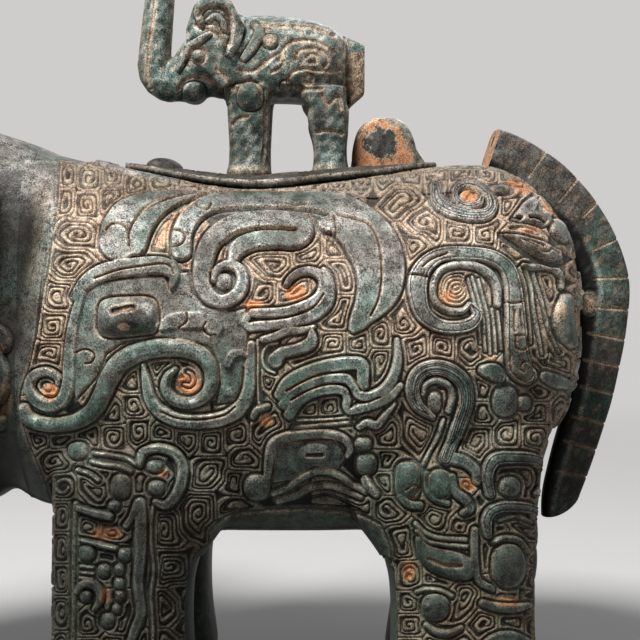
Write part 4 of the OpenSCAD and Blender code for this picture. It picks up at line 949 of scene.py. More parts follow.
coarser = 1
for side, sign, step in (("left", -1, 0.2), ("right", 1, 0.3)):
    sheet = relief_sheet(side + "_flank_chest", side, (-40, 4), (92.6, 126), step * coarser, flank_ornament,
                         keep=lambda p: sign * p[..., 1] > 7)
    at = centres_of(sheet)
    front_leg = part_off(sheet, "front_" + side + "_leg_relief", (at[:, 2] < 44) & (at[:, 0] < 20))
    at = centres_of(sheet)
    rear_leg = part_off(sheet, "rear_" + side + "_leg_relief", (at[:, 2] < 44) & (at[:, 0] > 30))
    panels = [sheet]
    for name, edge in (("_flank_rump", 58), ("_flank_loin", 28), ("_flank_shoulder", -5)):
        panels.append(part_off(sheet, side + name, centres_of(sheet)[:, 0] > edge))
    for piece in panels:
        settle(piece, "vessel", "bronze_dark", dark_bronze)
    for piece in (front_leg, rear_leg):
        settle(piece, "vessel", "bronze_green", leg_bronze)

# Back, rump and fore legs: the same casting seen from above, behind and in front, with the ground of
# square spirals carried round and a few scrolls of its own. Left and right mirror each other.
back = Drawing((-36, -2), (96, 34), 0.15)
back.band((62, 5, 1.0), (60.6, 9, 1.3), (63, 13, 1.4), (68, 14.4, 1.4), (73, 12.4, 1.4), (75.4, 8, 1.3),
          (73, 4.6, 1.1), (69.4, 5, 0.9), (68.2, 8, 0.8), (70, 9.8, 0.5), high=0.5)
back.band((58, 18, 0.7), (63, 20, 1.1), (70, 20, 1.1), (77, 17, 0.8), high=0.5)
back.band((-21, 4, 0.8), (-24, 8, 1.2), (-23, 13, 1.3), (-18, 17, 1.3), (-11, 19.6, 1.2), (-4, 21, 0.8))
back.field((-36, -3), (-36, 34), (-29, 34), (-28, 18), (-27.4, 9), (-27.2, -3), high=0.05, soft=0.3)
back.fill([])
back.bake()
rump = Drawing((-2, 0), (44, 130), 0.15)
rump.band((8, 104, 1.0), (14, 108, 1.4), (20, 106, 1.5), (23, 100, 1.5), (21, 94, 1.4), (16, 92, 1.2),
          (12.6, 95, 1.0), (14, 99, 0.8), (17, 99.4, 0.5))
rump.band((6, 86, 1.2), (10, 82, 1.4), (16, 81, 1.5), (21, 84, 1.4), (24, 89, 1.0))
rump.boss(13.4, 74, 3.6, 2.7, high=1.7)
rump.cut((11.6, 74), (15.2, 74.2), w=0.5, earth=0.6)
rump.band((6, 77, 0.8), (10, 78.4, 1.0), (16, 78, 1.0), (20, 75, 0.9), (22, 70, 0.7))
rump.band((5, 66, 1.0), (10, 64, 1.3), (15, 66, 1.2), (17, 70, 0.7))
rump.band((14, 58, 1.0), (20, 60, 1.3), (26, 57, 1.4), (28, 50, 1.3), (25, 44, 1.1), (21, 45, 0.8),
          (21, 49, 0.6))
rump.boss(30, 33, 3, 4, high=1.7)
rump.band((20, 36, 0.8), (22, 30, 1.2), (26, 26, 1.3), (32, 24, 1.0))
rump.boss(24, 17, 2.2, 2.2, high=1.4)
rump.high *= 1 - 0.55 * ramp(rump.z, 62, 52)
rump.fill([])
rump.bake()
shin = Drawing((-2, -2), (46, 72), 0.15)
shin.band((16, 54, 0.8), (20, 58, 1.2), (26, 58, 1.3), (30, 53, 1.3), (28, 47, 1.1), (23, 47, 0.9),
          (22.6, 51, 0.6))
shin.boss(25, 39, 2.6, 3.4, high=0.9)
shin.band((15, 36, 0.8), (18, 31, 1.1), (24, 28.6, 1.3), (31, 30, 1.1), (34, 35, 0.7))
shin.band((16, 22, 0.8), (22, 20, 1.2), (29, 21.4, 1.1), (34, 25, 0.7))
shin.high *= 0.5
shin.fill([])
shin.bake()


def mirrored(drawing, across):
    def look(p, normal):
        side_by, up = np.abs(p[..., 1]), normal[..., 2]
        u, v = (p[..., 0], side_by) if across == "x" else (side_by, p[..., 2])
        rise, deep_shade, earth, highlight_and_wear = drawing.looks(u, v)
        # painted shade on the front legs and on faces turned upwards, which also keep less highlight
        shade = np.maximum(ramp(p[..., 2], 66, 44) * ramp(p[..., 0], 10, -6), ramp(up, 0.4, 0.85))
        return rise, deep_shade, earth, highlight_and_wear * (1 - 0.8 * ramp(up, 0.35, 0.7)), 0.6 * shade
    return look


lid_x = 19.6


def oval(x, y, long, wide):
    """Below one inside an oval of these half sizes about the middle of the lid."""
    return ((x - lid_x) / long) ** 2 + (y / wide) ** 2


def off_lid(p):
    return (p[..., 2] > 100) & (oval(p[..., 0], p[..., 1], 38.4, 19.6) > 1)


def level_across(normal):
    return np.abs(normal[..., 1]) < 0.4


fine = 0.34 * coarser
back_relief = relief_sheet("back_relief", "top", (-34, -30), (93, 30), fine, mirrored(back, "x"),
                           keep=off_lid,
                           turned=lambda n: level_across(n) & (n[..., 2] > n[..., 0] - 0.05))
rump_relief = relief_sheet("rump_relief", "rear", (-41, 4), (41, 126), fine, mirrored(rump, "y"),
                           keep=lambda p: p[..., 0] > 58,
                           turned=lambda n: level_across(n) & (n[..., 0] > n[..., 2] - 0.05))
shin_relief = relief_sheet("front_legs_shin_relief", "front", (-42, 4), (42, 60), fine, mirrored(shin, "y"),
                           keep=lambda p: (p[..., 0] > -34) & (p[..., 0] < -10), turned=level_across)
settle(back_relief, "vessel", "bronze_dark", dark_bronze)
settle(rump_relief, "vessel", "bronze_dark", dark_bronze)
settle(shin_relief, "vessel", "bronze_green", leg_bronze)


# Head: a hollow bronze shell cast with the body, smooth, with painted shade darkening it at the neck.
# Its cheek carries a long eye, a brow and a scroll.
def normals_of(piece):
    return triples(piece.data.vertex_normals, "vector").astype(np.float64)


def dress(piece, rise=0.0, deep_shade=0.0, earth=0.0, highlight_and_wear=0.0, shade=0.0):
    """Raises a melted piece along its own normals and keeps what its patina, painted shade and highlights
    need.
    """
    points = points_of(piece)
    lifted = np.broadcast_to(0.001 * rise, len(points))
    move_points(piece, points + normals_of(piece) * lifted[:, None])
    cast = np.ones((len(points), 4), np.float32)
    for k, value in enumerate((deep_shade, earth, highlight_and_wear, shade)):
        cast[:, k] = value
    keep_looks(piece, cast)


def seen_from_side(drawing, p, n, plane):
    facing = np.clip((np.abs(n[:, 1]) - 0.2) / 0.35, 0, 1)
    return [look * facing for look in drawing.looks(*in_sight(p, plane))]


cheek = Drawing((-96, 36), (-28, 142), 0.15)
cheek.band((-90, 104, 0.6), (-86, 110, 1.1), (-79, 113.4, 1.5), (-72, 112.4, 1.6), (-68, 107, 1.4),
           (-67.4, 101, 0.9))
cheek.band((-80, 102.6, 3.2), (-77.4, 102.8, 3.5), (-74.8, 102.6, 3.0), high=1.7, soft=1.5)
cheek.cut((-79, 103.4), (-75.6, 103.6), w=0.6, deep=1.0, earth=0.7)
cheek.band((-86, 96, 0.8), (-80, 95, 1.1), (-73, 96, 1.2), (-68, 93, 1.2), (-66, 87, 1.1), (-69, 82, 0.9),
           (-73, 83, 0.7), (-73, 87, 0.5))
cheek.band((-84, 124, 0.8), (-80, 128.6, 1.3), (-74, 129.6, 1.5), (-69.4, 126, 1.5), (-69.6, 120.6, 1.3),
           (-74, 118.4, 1.1), (-77.6, 120.6, 0.9), (-76.6, 124, 0.7), (-73.6, 124, 0.5))
cheek.band((-80, 60, 0.8), (-72, 56.6, 1.3), (-62, 57.4, 1.5), (-55, 62, 1.6), (-52.6, 69, 1.6),
           (-56, 75.4, 1.5), (-62.6, 76.4, 1.4), (-66.6, 72, 1.2), (-65.4, 67, 1.0), (-61, 66, 0.8),
           (-59.4, 69, 0.6))
cheek.soil(-61, 69.6, 2.6, 2.4, 0.9)
cheek.band((-47, 86.2, 1.2), (-43.4, 86, 1.6), (-41.4, 84.2, 1.5), (-41.2, 82, 0.9))
cheek.soil(-42.8, 82.2, 1.7, 1.6, 0.95)
cheek.band((-47, 80.8, 1.2), (-43.6, 80, 1.5), (-42, 76.6, 1.6), (-42.4, 72, 1.5), (-45, 69, 1.2))
cheek.soil(-41, 71, 1.3, 5, 0.8)
cheek.soil(-42, 67.6, 2.2, 1.3, 0.9)
cheek.boss(-42.8, 65.4, 1.8, 1.8, high=1.4)
from_neck = 0.25 * (cheek.z - 90) - cheek.x
cheek.fill([], within=np.clip((from_neck - 56) / 6, 0, 1) * np.clip((cheek.z - 48) / 4, 0, 1))
cheek.dark *= np.clip((from_neck - 54) / 6, 0, 1)
cheek.bake()


def cheek_ornament(p, normal):
    x, z = in_sight(p, 33)
    edge = np.clip((-38.6 - p[..., 0]) / 1.6, 0, 1)
    # painted shade over the cheek, deeper towards the neck below its top
    shade = 0.42 + 0.48 * ramp(x, -50, -44) * ramp(z, 125, 119)
    return [look * edge for look in cheek.looks(x, z)] + [shade]


for side, sign in (("left", -1), ("right", 1)):
    sheet = relief_sheet(side + "_cheek_relief", side, (-92, 43), (-38.2, 138), fine, cheek_ornament,
                         keep=lambda p: sign * p[..., 1] > 4)
    settle(sheet, "vessel", "bronze_dark", dark_bronze)

at = centres_of(skin)
head = part_off(skin, "head_skin", at[:, 0] < -33.2)
p = points_of(head) * 1000
# painted shade over the head skin, deeper at the neck below its top
neck_shade = 0.5 + 0.4 * ramp(p[:, 2], 127, 117) * ramp(p[:, 0], -60, -46)
dress(head, deep_shade=0.05, shade=neck_shade)
settle(head, "vessel", "bronze_dark", dark_bronze, "head_shell")

# Legs: four hollow bronze columns, cast in one with the belly, with the clay of the core still shut
# inside them. What is left of the skin is the belly.
for leg in legs:
    at = centres_of(skin)
    mine = (at[:, 2] < 38) & ((at[:, 0] < 24) == ("front" in leg)) & ((at[:, 1] < 0) == ("left" in leg))
    shaft = part_off(skin, leg + "_leg_skin", mine)
    # painted shade: much on the front legs, little on the rear ones
    dress(shaft, shade=0.6 if "front" in leg else 0.1)
    settle(shaft, "vessel", "bronze_green", leg_bronze, leg + "_leg")
# painted shade over the belly skin where it shows between the sheets
dress(skin, shade=0.5)
settle(skin, "vessel", "bronze_dark", dark_bronze, "belly_shell")

# Trunk: a thick bronze pipe bent up from the face, cast with the head and open at its lip, with rows of
# rounded scales down its front.
trunk = melt("trunk_cast", ["trunk_spout"], 0.0006, 8)
path = np.array([(-81, 58.6), (-88, 55), (-94, 55.4), (-98.6, 59), (-100.6, 66), (-100.4, 84), (-99, 104),
                 (-97.4, 124), (-95.2, 142), (-94, 158)])
p, n = points_of(trunk) * 1000, normals_of(trunk)
runs = np.diff(path, axis=0)
lengths = np.hypot(*runs.T)
best, along = np.full(len(p), 1e9), np.zeros(len(p))
for start, run, length, done in zip(path, runs, lengths, np.concatenate([[0], np.cumsum(lengths)])):
    t = np.clip(((p[:, [0, 2]] - start) @ run) / length ** 2, 0, 1)
    off = np.hypot(*(p[:, [0, 2]] - start - t[:, None] * run).T)
    along = np.where(off < best, done + t * length, along)
    best = np.minimum(best, off)
outside = np.clip((np.hypot(best, p[:, 1]) - 6.4) / 0.8, 0, 1)
outside *= np.clip((118 - along) / 3, 0, 1) * np.clip((along - 8) / 4, 0, 1)
scales_round, scale_len = 7, 4.4
across = np.arctan2(p[:, 1], -n[:, 0] * 8) / math.pi * scales_round
row = along / scale_len
u, v = (across + np.floor(row) % 2 * 0.5) % 1.0 - 0.5, row % 1.0
scale_edge = np.hypot(u * 1.9, np.maximum(v - 0.42, 0) * 1.75)
scale_line = np.clip(1 - np.abs(scale_edge - 0.85) / 0.16, 0, 1) * outside
dress(trunk, 0.35 * (1 - v) * outside - 0.45 * scale_line, deep_shade=0.75 * scale_line, earth=0.35 * scale_line,
      highlight_and_wear=0.4 * (1 - v) * outside)
settle(trunk, "vessel", "bronze_green", leg_bronze, "trunk_spout")

# Ears: cupped bronze flaps that stand out from the neck, cast with the head, each with a raised rim and
# a coil on its outer face.
ear_sheet = Drawing((-80, 80), (-40, 144), 0.15)
ear_sheet.band((-47.9, 132.8, 1.0), (-54.9, 135.4, 1.5), (-62.5, 133.3, 1.7), (-66.4, 126.5, 1.8),
               (-67.2, 117.6, 1.8), (-64.6, 107.8, 1.7), (-58.4, 98.9, 1.5), (-51.4, 91.8, 1.0))
ear_sheet.band((-49.6, 123.9, 1.0), (-54.9, 126.5, 1.5), (-60.2, 124.4, 1.6), (-62, 118.5, 1.6),
               (-59.3, 112.6, 1.5), (-54.4, 112.3, 1.3), (-52.3, 116.2, 1.1), (-54, 119.8, 0.9),
               (-57, 119.1, 0.6))
ear_sheet.fill([])
ear_sheet.bake()
for side, sign in (("left", -1), ("right", 1)):
    ear = melt(side + "_ear_cast", [side + "_ear"], 0.00055, 10)
    p, n = points_of(ear) * 1000, normals_of(ear)
    outer = (sign * n[:, 1] > 0) * 1.0
    rise, deep_shade, earth, highlight_and_wear = [look * outer for look in seen_from_side(ear_sheet, p, n, 40)]
    dress(ear, 0.8 * rise, deep_shade, earth, highlight_and_wear)
    settle(ear, "vessel", "bronze_dark", dark_bronze, side + "_ear")

# Tusks: short solid bronze points beside the trunk, cast with the head. They are bare metal, rubbed
# bright where hands have passed.
worn_bronze = bronze("worn_bronze", green=-0.06, rubbed=0.5)
for side in ("left", "right"):
    tusk = melt(side + "_tusk_cast", [side + "_tusk"], 0.00035, 8)
    dress(tusk, earth=0.25, highlight_and_wear=0.4)
    settle(tusk, "vessel", "bronze_brown", worn_bronze, side + "_tusk")

# Tail: a flat-sided blade of thirteen segments cast on to the croup, with earth in the joints between
# them, and a short peg that ties it to the rump half way down.
# The path goes down its outer edge, as x, z and share of the full thickness.
tail_path = np.array([(70.6, 131.6, 1), (77.2, 129.4, 1), (86.2, 123.8, 1), (92.9, 116.5, 1),
                      (97.8, 108.6, 1), (100.7, 100.9, 1), (101.5, 95.9, 1), (100.2, 84.2, 1),
                      (97.1, 69.8, 1), (93.1, 57, 0.98), (91.1, 50.4, 0.92), (89.3, 44.6, 0.83),
                      (88.9, 42, 0.77), (88.7, 38.4, 0.7)])
tail_steps = np.cumsum(np.hypot(*np.diff(tail_path[:, :2], axis=0).T))
tail_share = np.concatenate([[0], tail_steps]) / tail_steps[-1]
rows, around = 540, 96
bpy.ops.object.select_all(action="DESELECT")
bpy.ops.mesh.primitive_grid_add(x_subdivisions=around, y_subdivisions=rows, size=1)
tail = bpy.context.object
tail.name = tail.data.name = "tail_cast"
grid = points_of(tail)
cap_share = 0.03
run = (grid[:, 1] + 0.5) * (1 + 2 * cap_share) - cap_share
u = np.clip(run, 0, 1)
inset = np.clip(1 - np.abs(run - u) / cap_share, 0, 1)
turn = 2 * math.pi * (grid[:, 0] + 0.5)
cap = (u < 1e-6) * np.clip((0.985 - inset) / 0.03, 0, 1)


def along_tail(share):
    spots = np.clip(share, 0, 1) + np.linspace(-0.03, 0.03, 9)[:, None]
    return np.stack([np.interp(spots, tail_share, tail_path[:, k]).mean(0) for k in range(3)], -1)


c, s = np.cos(turn), np.sin(turn)
flatness = 4.2
power = (np.abs(c) ** flatness + np.abs(s) ** flatness) ** (-1 / flatness)
u = u + 0.0085 * (1 - s * power * np.sqrt(inset)) * np.clip(1 - u / 0.07, 0, 1)
here, ahead = along_tail(u), along_tail(u + 0.01) - along_tail(u - 0.01)
heading = np.arctan2(ahead[:, 0], ahead[:, 1])
deep = np.where(u < 0.3, 4.5 * np.sin(math.pi * u / 0.3), 0) + 1.4 * ramp(u, 0.24, 0.36) * ramp(u, 0.72, 0.56)
thick = (10.6 * here[:, 2] + deep) / 2
reach_in = c * power * thick * np.sqrt(inset)
reach_out = s * power * 4.5 * (1 - 0.3 * u) * np.sqrt(inset)
inward = deep / 2 + reach_in
points = np.stack([here[:, 0] + inward * np.cos(heading), reach_out,
                   here[:, 1] - inward * np.sin(heading)], -1)
# the lower end is cut off in a shallow curve
points[:, 2] = np.maximum(points[:, 2], 39.5 + 4.6 * np.clip((points[:, 0] - 85.4) / 8.4, 0, 1) ** 2.2)
move_points(tail, points * 0.001)
# these go with the points while doubled ones are welded
layer = tail.data.attributes.new("end", "FLOAT_VECTOR", "POINT")
layer.data.foreach_set("vector", np.stack([cap, reach_in, reach_out], -1).astype(np.float32).ravel())
bpy.ops.object.mode_set(mode="EDIT")
bpy.ops.mesh.select_all(action="SELECT")
bpy.ops.mesh.remove_doubles(threshold=2e-6)
bpy.ops.mesh.normals_make_consistent(inside=False)
bpy.ops.object.mode_set(mode="OBJECT")
bpy.ops.object.shade_smooth()
joints = Drawing((62, 34), (112, 142), 0.125)
for x0, z0, x1, z1 in ((85.2, 130, 81, 124), (93.6, 124, 88.6, 118), (98.8, 118.3, 94.6, 114.2),
                       (103.5, 108.8, 97, 105.8), (105.4, 99, 97.5, 98.8), (105.6, 91, 97, 91.6),
                       (104.5, 83.6, 96, 85.2), (103.4, 77, 95, 78.6), (101.8, 70.2, 94, 72),
                       (100, 62.8, 92, 64.6), (97.7, 56.3, 90, 58.6), (95.6, 49.6, 88, 51)):
    out_x, out_z = (x0 - x1) * 0.5, (z0 - z1) * 0.5
    joints.cut((x1, z1), (x0, z0), (x0 + out_x, z0 + out_z), w=0.24, deep=0.3, earth=0.95)
peg_x, peg_z = 96, 92.4
joints.boss(peg_x, peg_z, 2, 3.2, high=0.8)
joints.soil(peg_x - 0.2, peg_z, 1.7, 2.6, 0.7)
joints.bake()
p, n = points_of(tail) * 1000, normals_of(tail)
x, z = in_sight(p, 4)
joint = joints.read(joints.earth, x, z)
by_joints = np.clip((joints.read(joints.blur(joints.earth, 1.2), x, z) - 0.1) * 2, 0, 1)
cap, reach_in, reach_out = triples(tail.data.attributes["end"].data, "vector").T
slit = cap * (np.abs(reach_in + 2.2) < 1.5) * (np.abs(reach_out) < 0.6)
by_peg = np.exp(-((x - peg_x) / 2.2) ** 4 - ((z - peg_z) / 3.2) ** 4)
# painted shade over the blade, deepest on its inner side towards the rump and lifted about the peg; a painted
# highlight runs along the ridge at the edge of the inner side, and the blade's narrow edges get more
# highlight and wear
shaded_inner = ramp(reach_in, 1.8, 3.2) * (1 - cap) * (1 - by_peg)
lit_ridge = np.exp(-((reach_in - 1.7) / 0.6) ** 2) * (1 - cap) * ramp(z, 112, 100)
stain = np.sin(0.8 * x + 0.5 * z) * np.cos(0.7 * z - 0.6 * x) + 0.6 * np.sin(1.9 * x - 1.4 * z)
deep_shade = 0.4 + 0.3 * shaded_inner - 0.3 * lit_ridge - 0.2 * ramp(stain, 0.2, 0.9)
deep_shade = np.maximum(deep_shade * (joint < 0.2) * (1 - cap), slit)
earth = np.max([joint, 0.2 * by_joints, 0.85 * cap * (1 - slit), 0.34 * ramp(stain, -0.3, -1)], 0)
highlight_and_wear = np.maximum(0.45 * np.clip(0.7 - np.abs(n[:, 1]), 0, 1) * (1 - cap), 0.3 * lit_ridge)
shade = 0.46 + 0.3 * shaded_inner - 0.3 * lit_ridge - 0.36 * by_peg
dress(tail, joints.read(joints.top, x, z), deep_shade, earth, highlight_and_wear, shade)
tail_bronze = bronze("tail_bronze", green=-0.05, rubbed=-0.06)
settle(tail, "vessel", "bronze_green", tail_bronze, "tail")
peg = melt("tail_peg_cast", ["tail_peg"], 0.0003, 6)
dress(peg, earth=0.8)
settle(peg, "vessel", "bronze_brown", worn_bronze, "tail_peg")

# Lid: a thin saddle-shaped plate with a rolled edge, a ring below that drops into the mouth, and a
# half-round lug cast on behind the little elephant.
lid_top = Drawing((-22, -22), (62, 22), 0.125)
angles = np.radians(np.arange(0, 361, 6))
for long, wide in ((36.4, 17.6), (34.6, 16)):
    lid_top.cut(*[(lid_x + long * math.cos(a), wide * math.sin(a)) for a in angles], deep=0.4)
lid_top.boss(-8.8, -5, 4.6, 4.6, high=2.6)
lid_top.boss(21, 0, 5.6, 8, high=1.3, power=4)
lid_top.fill([], high=0.4, within=(oval(lid_top.x, lid_top.z, 33.6, 15) < 1) * 1.0)
lid_top.dark *= oval(lid_top.x, lid_top.z, 37, 18.4) < 1
lid_top.bake()
plate = melt("lid_plate_cast", ["lid_plate"], 0.00044, 6)
p, n = points_of(plate) * 1000, normals_of(plate)
upper = np.clip((n[:, 2] - 0.5) / 0.3, 0, 1)
rise, deep_shade, earth, highlight_and_wear = [look * upper for look in lid_top.looks(p[:, 0], p[:, 1])]
# the rolled edge: its lower and upper line, found step by step along the near rim
rim_from, rim_step, rim_steps = -24, 1.5, 64
lid_long, lid_wide = 38.6, 19.5
slot_at = np.clip(((p[:, 0] - rim_from) / rim_step).astype(int), 0, rim_steps - 1)
edge_low, edge_high = np.full(rim_steps, 1e3), np.full(rim_steps, -1e3)
on_rim = p[:, 1] < -0.86 * lid_wide * np.sqrt(np.clip(1 - ((p[:, 0] - lid_x) / lid_long) ** 2, 0.02, 1))
np.minimum.at(edge_low, slot_at[on_rim], p[on_rim, 2])
np.maximum.at(edge_high, slot_at[on_rim], p[on_rim, 2])
rolled = (p[:, 2] - edge_low[slot_at]) / np.maximum(edge_high - edge_low, 0.5)[slot_at]
# painted highlight on the upper part of the rolled edge; painted shade below it and over the rest of the
# plate
lip = ramp(rolled, 0.25, 0.6) * (1 - upper)
dress(plate, rise, np.maximum(deep_shade, 0.5 * (1 - lip)), np.maximum(0.6 * earth, 0.3 * lip),
      np.maximum(highlight_and_wear, 0.4 * lip), 0.8 - 0.35 * lip)
lid_bronze = bronze("lid_bronze", green=-0.04, rubbed=0.02)
settle(plate, "lid", "bronze_brown", lid_bronze, "lid_plate")
bpy.ops.object.select_all(action="DESELECT")
bpy.ops.mesh.primitive_uv_sphere_add(segments=128, ring_count=96, radius=1)
lug = bpy.context.object
lug.name = lug.data.name = "lid_lug_cast"
ball = points_of(lug)
bx, by, bz = ball.T
outline = (np.abs(ball) ** 2.6).sum(-1) ** (-1 / 2.6)
dents = 0.25 * np.sin(5 * bx + 3 * bz) * np.cos(4 * bz - 2 * by) + 0.12 * np.sin(13 * bx * bz + 7 * by)
bx, by, bz = ball.T * outline
lug_x, lug_z, lug_half, lug_tall = 45.5, 126.2, 8.1, 12.9
x = lug_x + (lug_half + dents) * bx + 2.8 * ramp(bz, 0.42, 0) * (bx > 0) * bx
z = lug_z + np.where(bz > 0, lug_tall, 1.2) * bz + 0.5 * dents * (bz > 0)
p = np.stack([x, (4.5 + 0.5 * dents) * by, z], -1)
move_points(lug, p * 0.001)
bpy.ops.object.shade_smooth()
ragged = 0.12 * np.sin(1.9 * x) + 0.1 * np.sin(2.7 * z + 1.1 * x) + 0.08 * np.sin(5 * x - 3 * z)
# painted shadow of a hollow on the near face of the solid dome, and a painted highlight along its top rim;
# the rest is darkened by the shade input
hollow_shadow = np.clip(6 * (1 - np.hypot((x - 44.6) / 4.4, (z - 132.2) / 4.1) + ragged), 0, 1) * (p[:, 1] < 0)
green_rim = np.clip(6 * (np.hypot((x - 43) / 8.6, (z - 127) / 11) - 1 + ragged * 0.5), 0, 1) * (x > 44)
top_rim_highlight = np.clip(8 * (np.hypot((x - lug_x) / 8.2, (z - lug_z) / lug_tall) - 0.93), 0, 1) * (z > 131)
dress(lug, deep_shade=0.62 * hollow_shadow + 0.3 * green_rim * (1 - top_rim_highlight),
      earth=np.clip(0.95 - hollow_shadow - 0.8 * green_rim - 0.45 * top_rim_highlight, 0, 1), highlight_and_wear=0.8 * top_rim_highlight + 0.2 * hollow_shadow,
      shade=0.46 * (1 - top_rim_highlight))
settle(lug, "lid", "bronze_brown", lid_bronze, "lid_lug")

# Little elephant: the lid's bronze knob, cast in one with its ears, trunk and flat tail and set on the
# plate by its feet, with tan earth in its lines.
little = Drawing((-20, 120), (44, 176), 0.1)
little.band((0.4, 160.6, 0.8), (-0.2, 163.6, 1.0), (2, 166, 1.2), (5.2, 166.4, 1.4), (8.2, 164.4, 1.5),
            (9.4, 160.6, 1.5), (8.8, 156.6, 1.3), (7.4, 153.4, 0.9), high=0.9)
little.band((2, 161.4, 0.5), (3.8, 162.6, 0.7), (5.6, 161.4, 0.7), (6.3, 159.2, 0.6), high=0.6)
for line in (((0.2, 162.4), (1.4, 164.2), (4.2, 164.7), (6.7, 163.4), (7.5, 160.3), (7, 158.1)),
             ((1.6, 160.6), (3.4, 160.9), (4.6, 159.8), (5.2, 158.2)),
             ((-0.9, 160.3), (1.2, 159.4), (3.4, 158.6), (5.8, 157), (7.2, 155.4)),
             ((-10.7, 168), (-11.2, 163), (-12.2, 155.3), (-12.6, 147.4), (-11.7, 144.8)),
             ((-5.3, 144.6), (-3.1, 147.2), (-0.3, 147.7), (3, 146.6), (5.3, 144.1), (6.4, 141.3)),
             ((4.2, 149.7), (7, 146.9), (8.6, 144.6)), ((9.4, 149.6), (12, 149), (14.4, 150), (16, 151.8)),
             ((15.3, 150.2), (17.6, 152.5), (19.8, 153.6), (20.7, 152.5), (19.8, 150.2), (17.6, 148.8)),
             ((19.3, 151.4), (20.9, 155.3), (24.3, 156.6), (28.8, 156.3), (32.7, 153.8)),
             ((23.5, 151.9), (24.3, 154.1), (27.7, 154.7), (30.7, 153.6), (31.3, 151.6), (30.4, 150.2)),
             ((26, 152.4), (27.2, 153.4), (28.6, 152.8), (28.4, 151.4), (26.8, 151.2)),
             ((21.5, 145.2), (21.8, 148), (24.9, 149.7), (28.8, 149.4), (32.1, 149.1), (34.4, 149.7)),
             ((25.4, 147.4), (26.4, 148.4), (27.6, 147.6), (27, 146.2), (25.6, 146.4)),
             ((24.2, 144.9), (27, 144.7), (29.8, 144.9)),
             ((14, 160.6), (18, 160.2), (23, 160), (28, 159.6), (33, 157.8)),
             ((9.2, 144.1), (10.3, 146), (12.6, 146.8), (14.5, 145.2), (15.1, 143)),
             ((16.2, 141), (16.2, 134), (15.4, 127)),
             ((8, 136), (9.4, 137.6), (11.6, 138)), ((28.6, 134.2), (31, 134.6), (34.8, 134)),
             ((30, 143.4), (31.4, 141), (33.6, 143), (34.6, 140)),
             ((35.6, 157), (35.4, 150), (35.8, 143), (36, 138))):
    little.cut(*line, w=0.5, deep=0.5, earth=0.72)
little.band((-5, 149.4, 0.5), (-4.2, 151.2, 0.8), (-2.5, 154.8, 0.9), (-0.3, 156.4, 0.9),
            (2.5, 158.3, 0.6), high=0.8)
little.boss(-0.4, 152.9, 1.5, 1.4, high=0.7)
little.cut((-2.3, 152.6), (-1.8, 154.2), (-0.4, 154.9), (1.1, 154.2), (1.5, 152.8), (0.8, 151.4),
           (-0.6, 150.9), (-1.9, 151.4), (-2.3, 152.6), w=0.45, deep=0.4, earth=0.8)
little.band((11, 152.4, 0.9), (13, 155, 1.2), (14.6, 158.6, 1.1), (13.4, 160.6, 0.8), high=0.5)
little.boss(17.3, 156.4, 1.7, 1.7, high=0.7)
little.soil(17.3, 156.4, 1.6, 1.6, 0.65)
little.boss(21, 145.4, 1.2, 1.2, high=0.5)
little.boss(12.4, 143, 3.2, 3.4, high=0.9)
little.boss(-1.2, 143.6, 2.8, 2.8, high=0.8)
little.bake()
knob_nodes = ["knob_torso", "knob_head", "knob_trunk", "knob_left_ear", "knob_right_ear", "knob_tail"]
knob = melt("knob_torso_cast", knob_nodes, 0.00034, 14)
p, n = points_of(knob) * 1000, normals_of(knob)
# knees and shoulders swell, the shins draw in and the feet and the lower jaw stand out
for x, z, wide, tall, swell in ((26, 137.8, 3, 3.4, 1.4), (12.5, 144, 3.4, 3.2, 0.7),
                                (11.6, 124.2, 7, 1.7, 0.9), (31, 124.2, 7, 1.7, 0.9),
                                (31.4, 130, 5, 3.4, -0.8), (11.6, 131, 5, 3.6, -0.5),
                                (-1.2, 143.2, 2.8, 2.6, 1.7), (30, 150, 6, 5, 0.5), (33.5, 157, 4, 4, 0.9)):
    p += n * (swell * np.exp(-((p[:, 0] - x) / wide) ** 2 - ((p[:, 2] - z) / tall) ** 2))[:, None]
hind = ramp(p[:, 0], 20, 23) * ramp(p[:, 2], 143, 139)
p[:, 0] += hind * (2.3 * (35.1 - p[:, 0]) / 9.8 + 1.0 * (p[:, 0] - 25.3) / 9.8)
belly_rise = ramp(p[:, 0], 14, 18) * ramp(p[:, 0], 31, 27) * (p[:, 2] > 136)
p[:, 2] += 2 * np.clip(-n[:, 2] - 0.2, 0, 1) * belly_rise
chest_drop = np.exp(-((p[:, 0] - 5.4) / 3) ** 2) * (p[:, 2] > 141) * (p[:, 2] < 150)
p[:, 2] -= 2.4 * np.clip(-n[:, 2] + 0.2, 0, 1) * chest_drop
move_points(knob, p * 0.001)
n = normals_of(knob)
rise, deep_shade, earth, highlight_and_wear = seen_from_side(little, p, n, 9)
low_legs = np.clip((127 - p[:, 2]) / 2.5, 0, 1)
tail_end = np.clip((p[:, 0] - 35.6) / 1.2, 0, 1) * np.clip((155.4 - p[:, 2]) / 0.8, 0, 1)
inside = np.clip((np.abs(n[:, 0]) - 0.55) * 2, 0, 1)
x, y, z = p.T
up = n[:, 2]
blotch = np.sin(0.9 * x + 1.3 * z) * np.cos(1.1 * z - 0.7 * x + 0.8 * y)
blotch += 0.6 * np.sin(2.1 * x - 1.7 * z + 0.5 * y)
earth = np.max([earth, 0.5 * low_legs, 0.72 * tail_end, 0.4 * inside, 0.3 * ramp(blotch, -0.5, -1.1)], 0)
# painted highlight on faces sloping upwards, such as the back's top line, and paler blotches of patina
highlight_and_wear = np.max([highlight_and_wear, 0.3 * np.clip(up, 0, 1) * ramp(up, 0.95, 0.7), 0.4 * ramp(blotch, 0.1, -0.6)], 0)
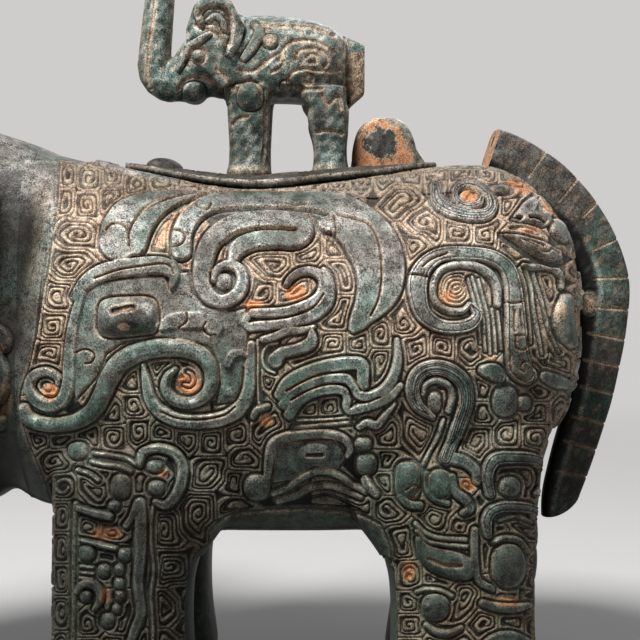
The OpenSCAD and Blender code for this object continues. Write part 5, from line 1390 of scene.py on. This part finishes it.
# painted shade low on the body and on faces turned upwards, with darker blotches of patina
shade = 0.08 + 0.36 * ramp(z, 148, 142) + 0.36 * ramp(blotch, 0.0, 0.9) + 0.3 * ramp(up, 0.6, 0.9)
dress(knob, rise, deep_shade, earth, highlight_and_wear, shade + 0.2 * tail_end)
knob_bronze = bronze("knob_bronze", green=0.12, rubbed=-0.08)
by_ear = 8.2
for name, rule in (("knob_trunk", lambda x, y, z: x < -7),
                   ("knob_left_ear", lambda x, y, z: (y < -by_ear) & (x < 11.5) & (z > 146)),
                   ("knob_right_ear", lambda x, y, z: (y > by_ear) & (x < 11.5) & (z > 146)),
                   ("knob_head", lambda x, y, z: (x < 6) & (z > 142)),
                   ("knob_tail", lambda x, y, z: x > 36.2)):
    piece = part_off(knob, name + "_cast", rule(*centres_of(knob).T))
    settle(piece, "lid", "bronze_brown" if name == "knob_tail" else "bronze_green", knob_bronze, name)
settle(knob, "lid", "bronze_green", knob_bronze, "knob_torso")

# Inside: four square bronze chips in the belly's floor, which held the core off the mould, the ring
# under the lid, and the fired clay that fills the legs.
chips = melt("wall_spacers_cast", ["wall_spacers"], 0.0003, 3)
p = points_of(chips)
p[:, 2] += np.where(p[:, 2] > p[:, 2].mean(), 0.0002, -0.0002)
move_points(chips, p)
settle(chips, "vessel", "bronze_brown", worn_bronze, "wall_spacers")
ring = frame["nodes"]["lid_ring"]
ring.data.materials.clear()
ring.data.materials.append(lid_bronze)
clay = bpy.data.materials.new("fired_clay")
clay.use_nodes = True
tree = clay.node_tree
matt = tree.nodes["Principled BSDF"]
matt.inputs["Roughness"].default_value = 0.92
grit = cloud(tree, tree.nodes.new("ShaderNodeTexCoord").outputs["Object"], 700, 5, 0.7)
burnt = tint(tree, spread(tree, grit, 0.35, 0.65), srgb(120, 84, 62), srgb(176, 138, 106))
tree.links.new(burnt, matt.inputs["Base Color"])
bump = join_node(tree, "ShaderNodeBump", [("Height", grit), ("Strength", 0.6), ("Distance", 0.0005)])
tree.links.new(bump.outputs[0], matt.inputs["Normal"])
for leg in legs:
    core = melt(leg + "_core_clay", [leg + "_core"], 0.0015, 2)
    move_points(core, draw_in(points_of(core) * 1000) * 0.001)
    settle(core, "vessel", "fired_clay", clay, leg + "_core")
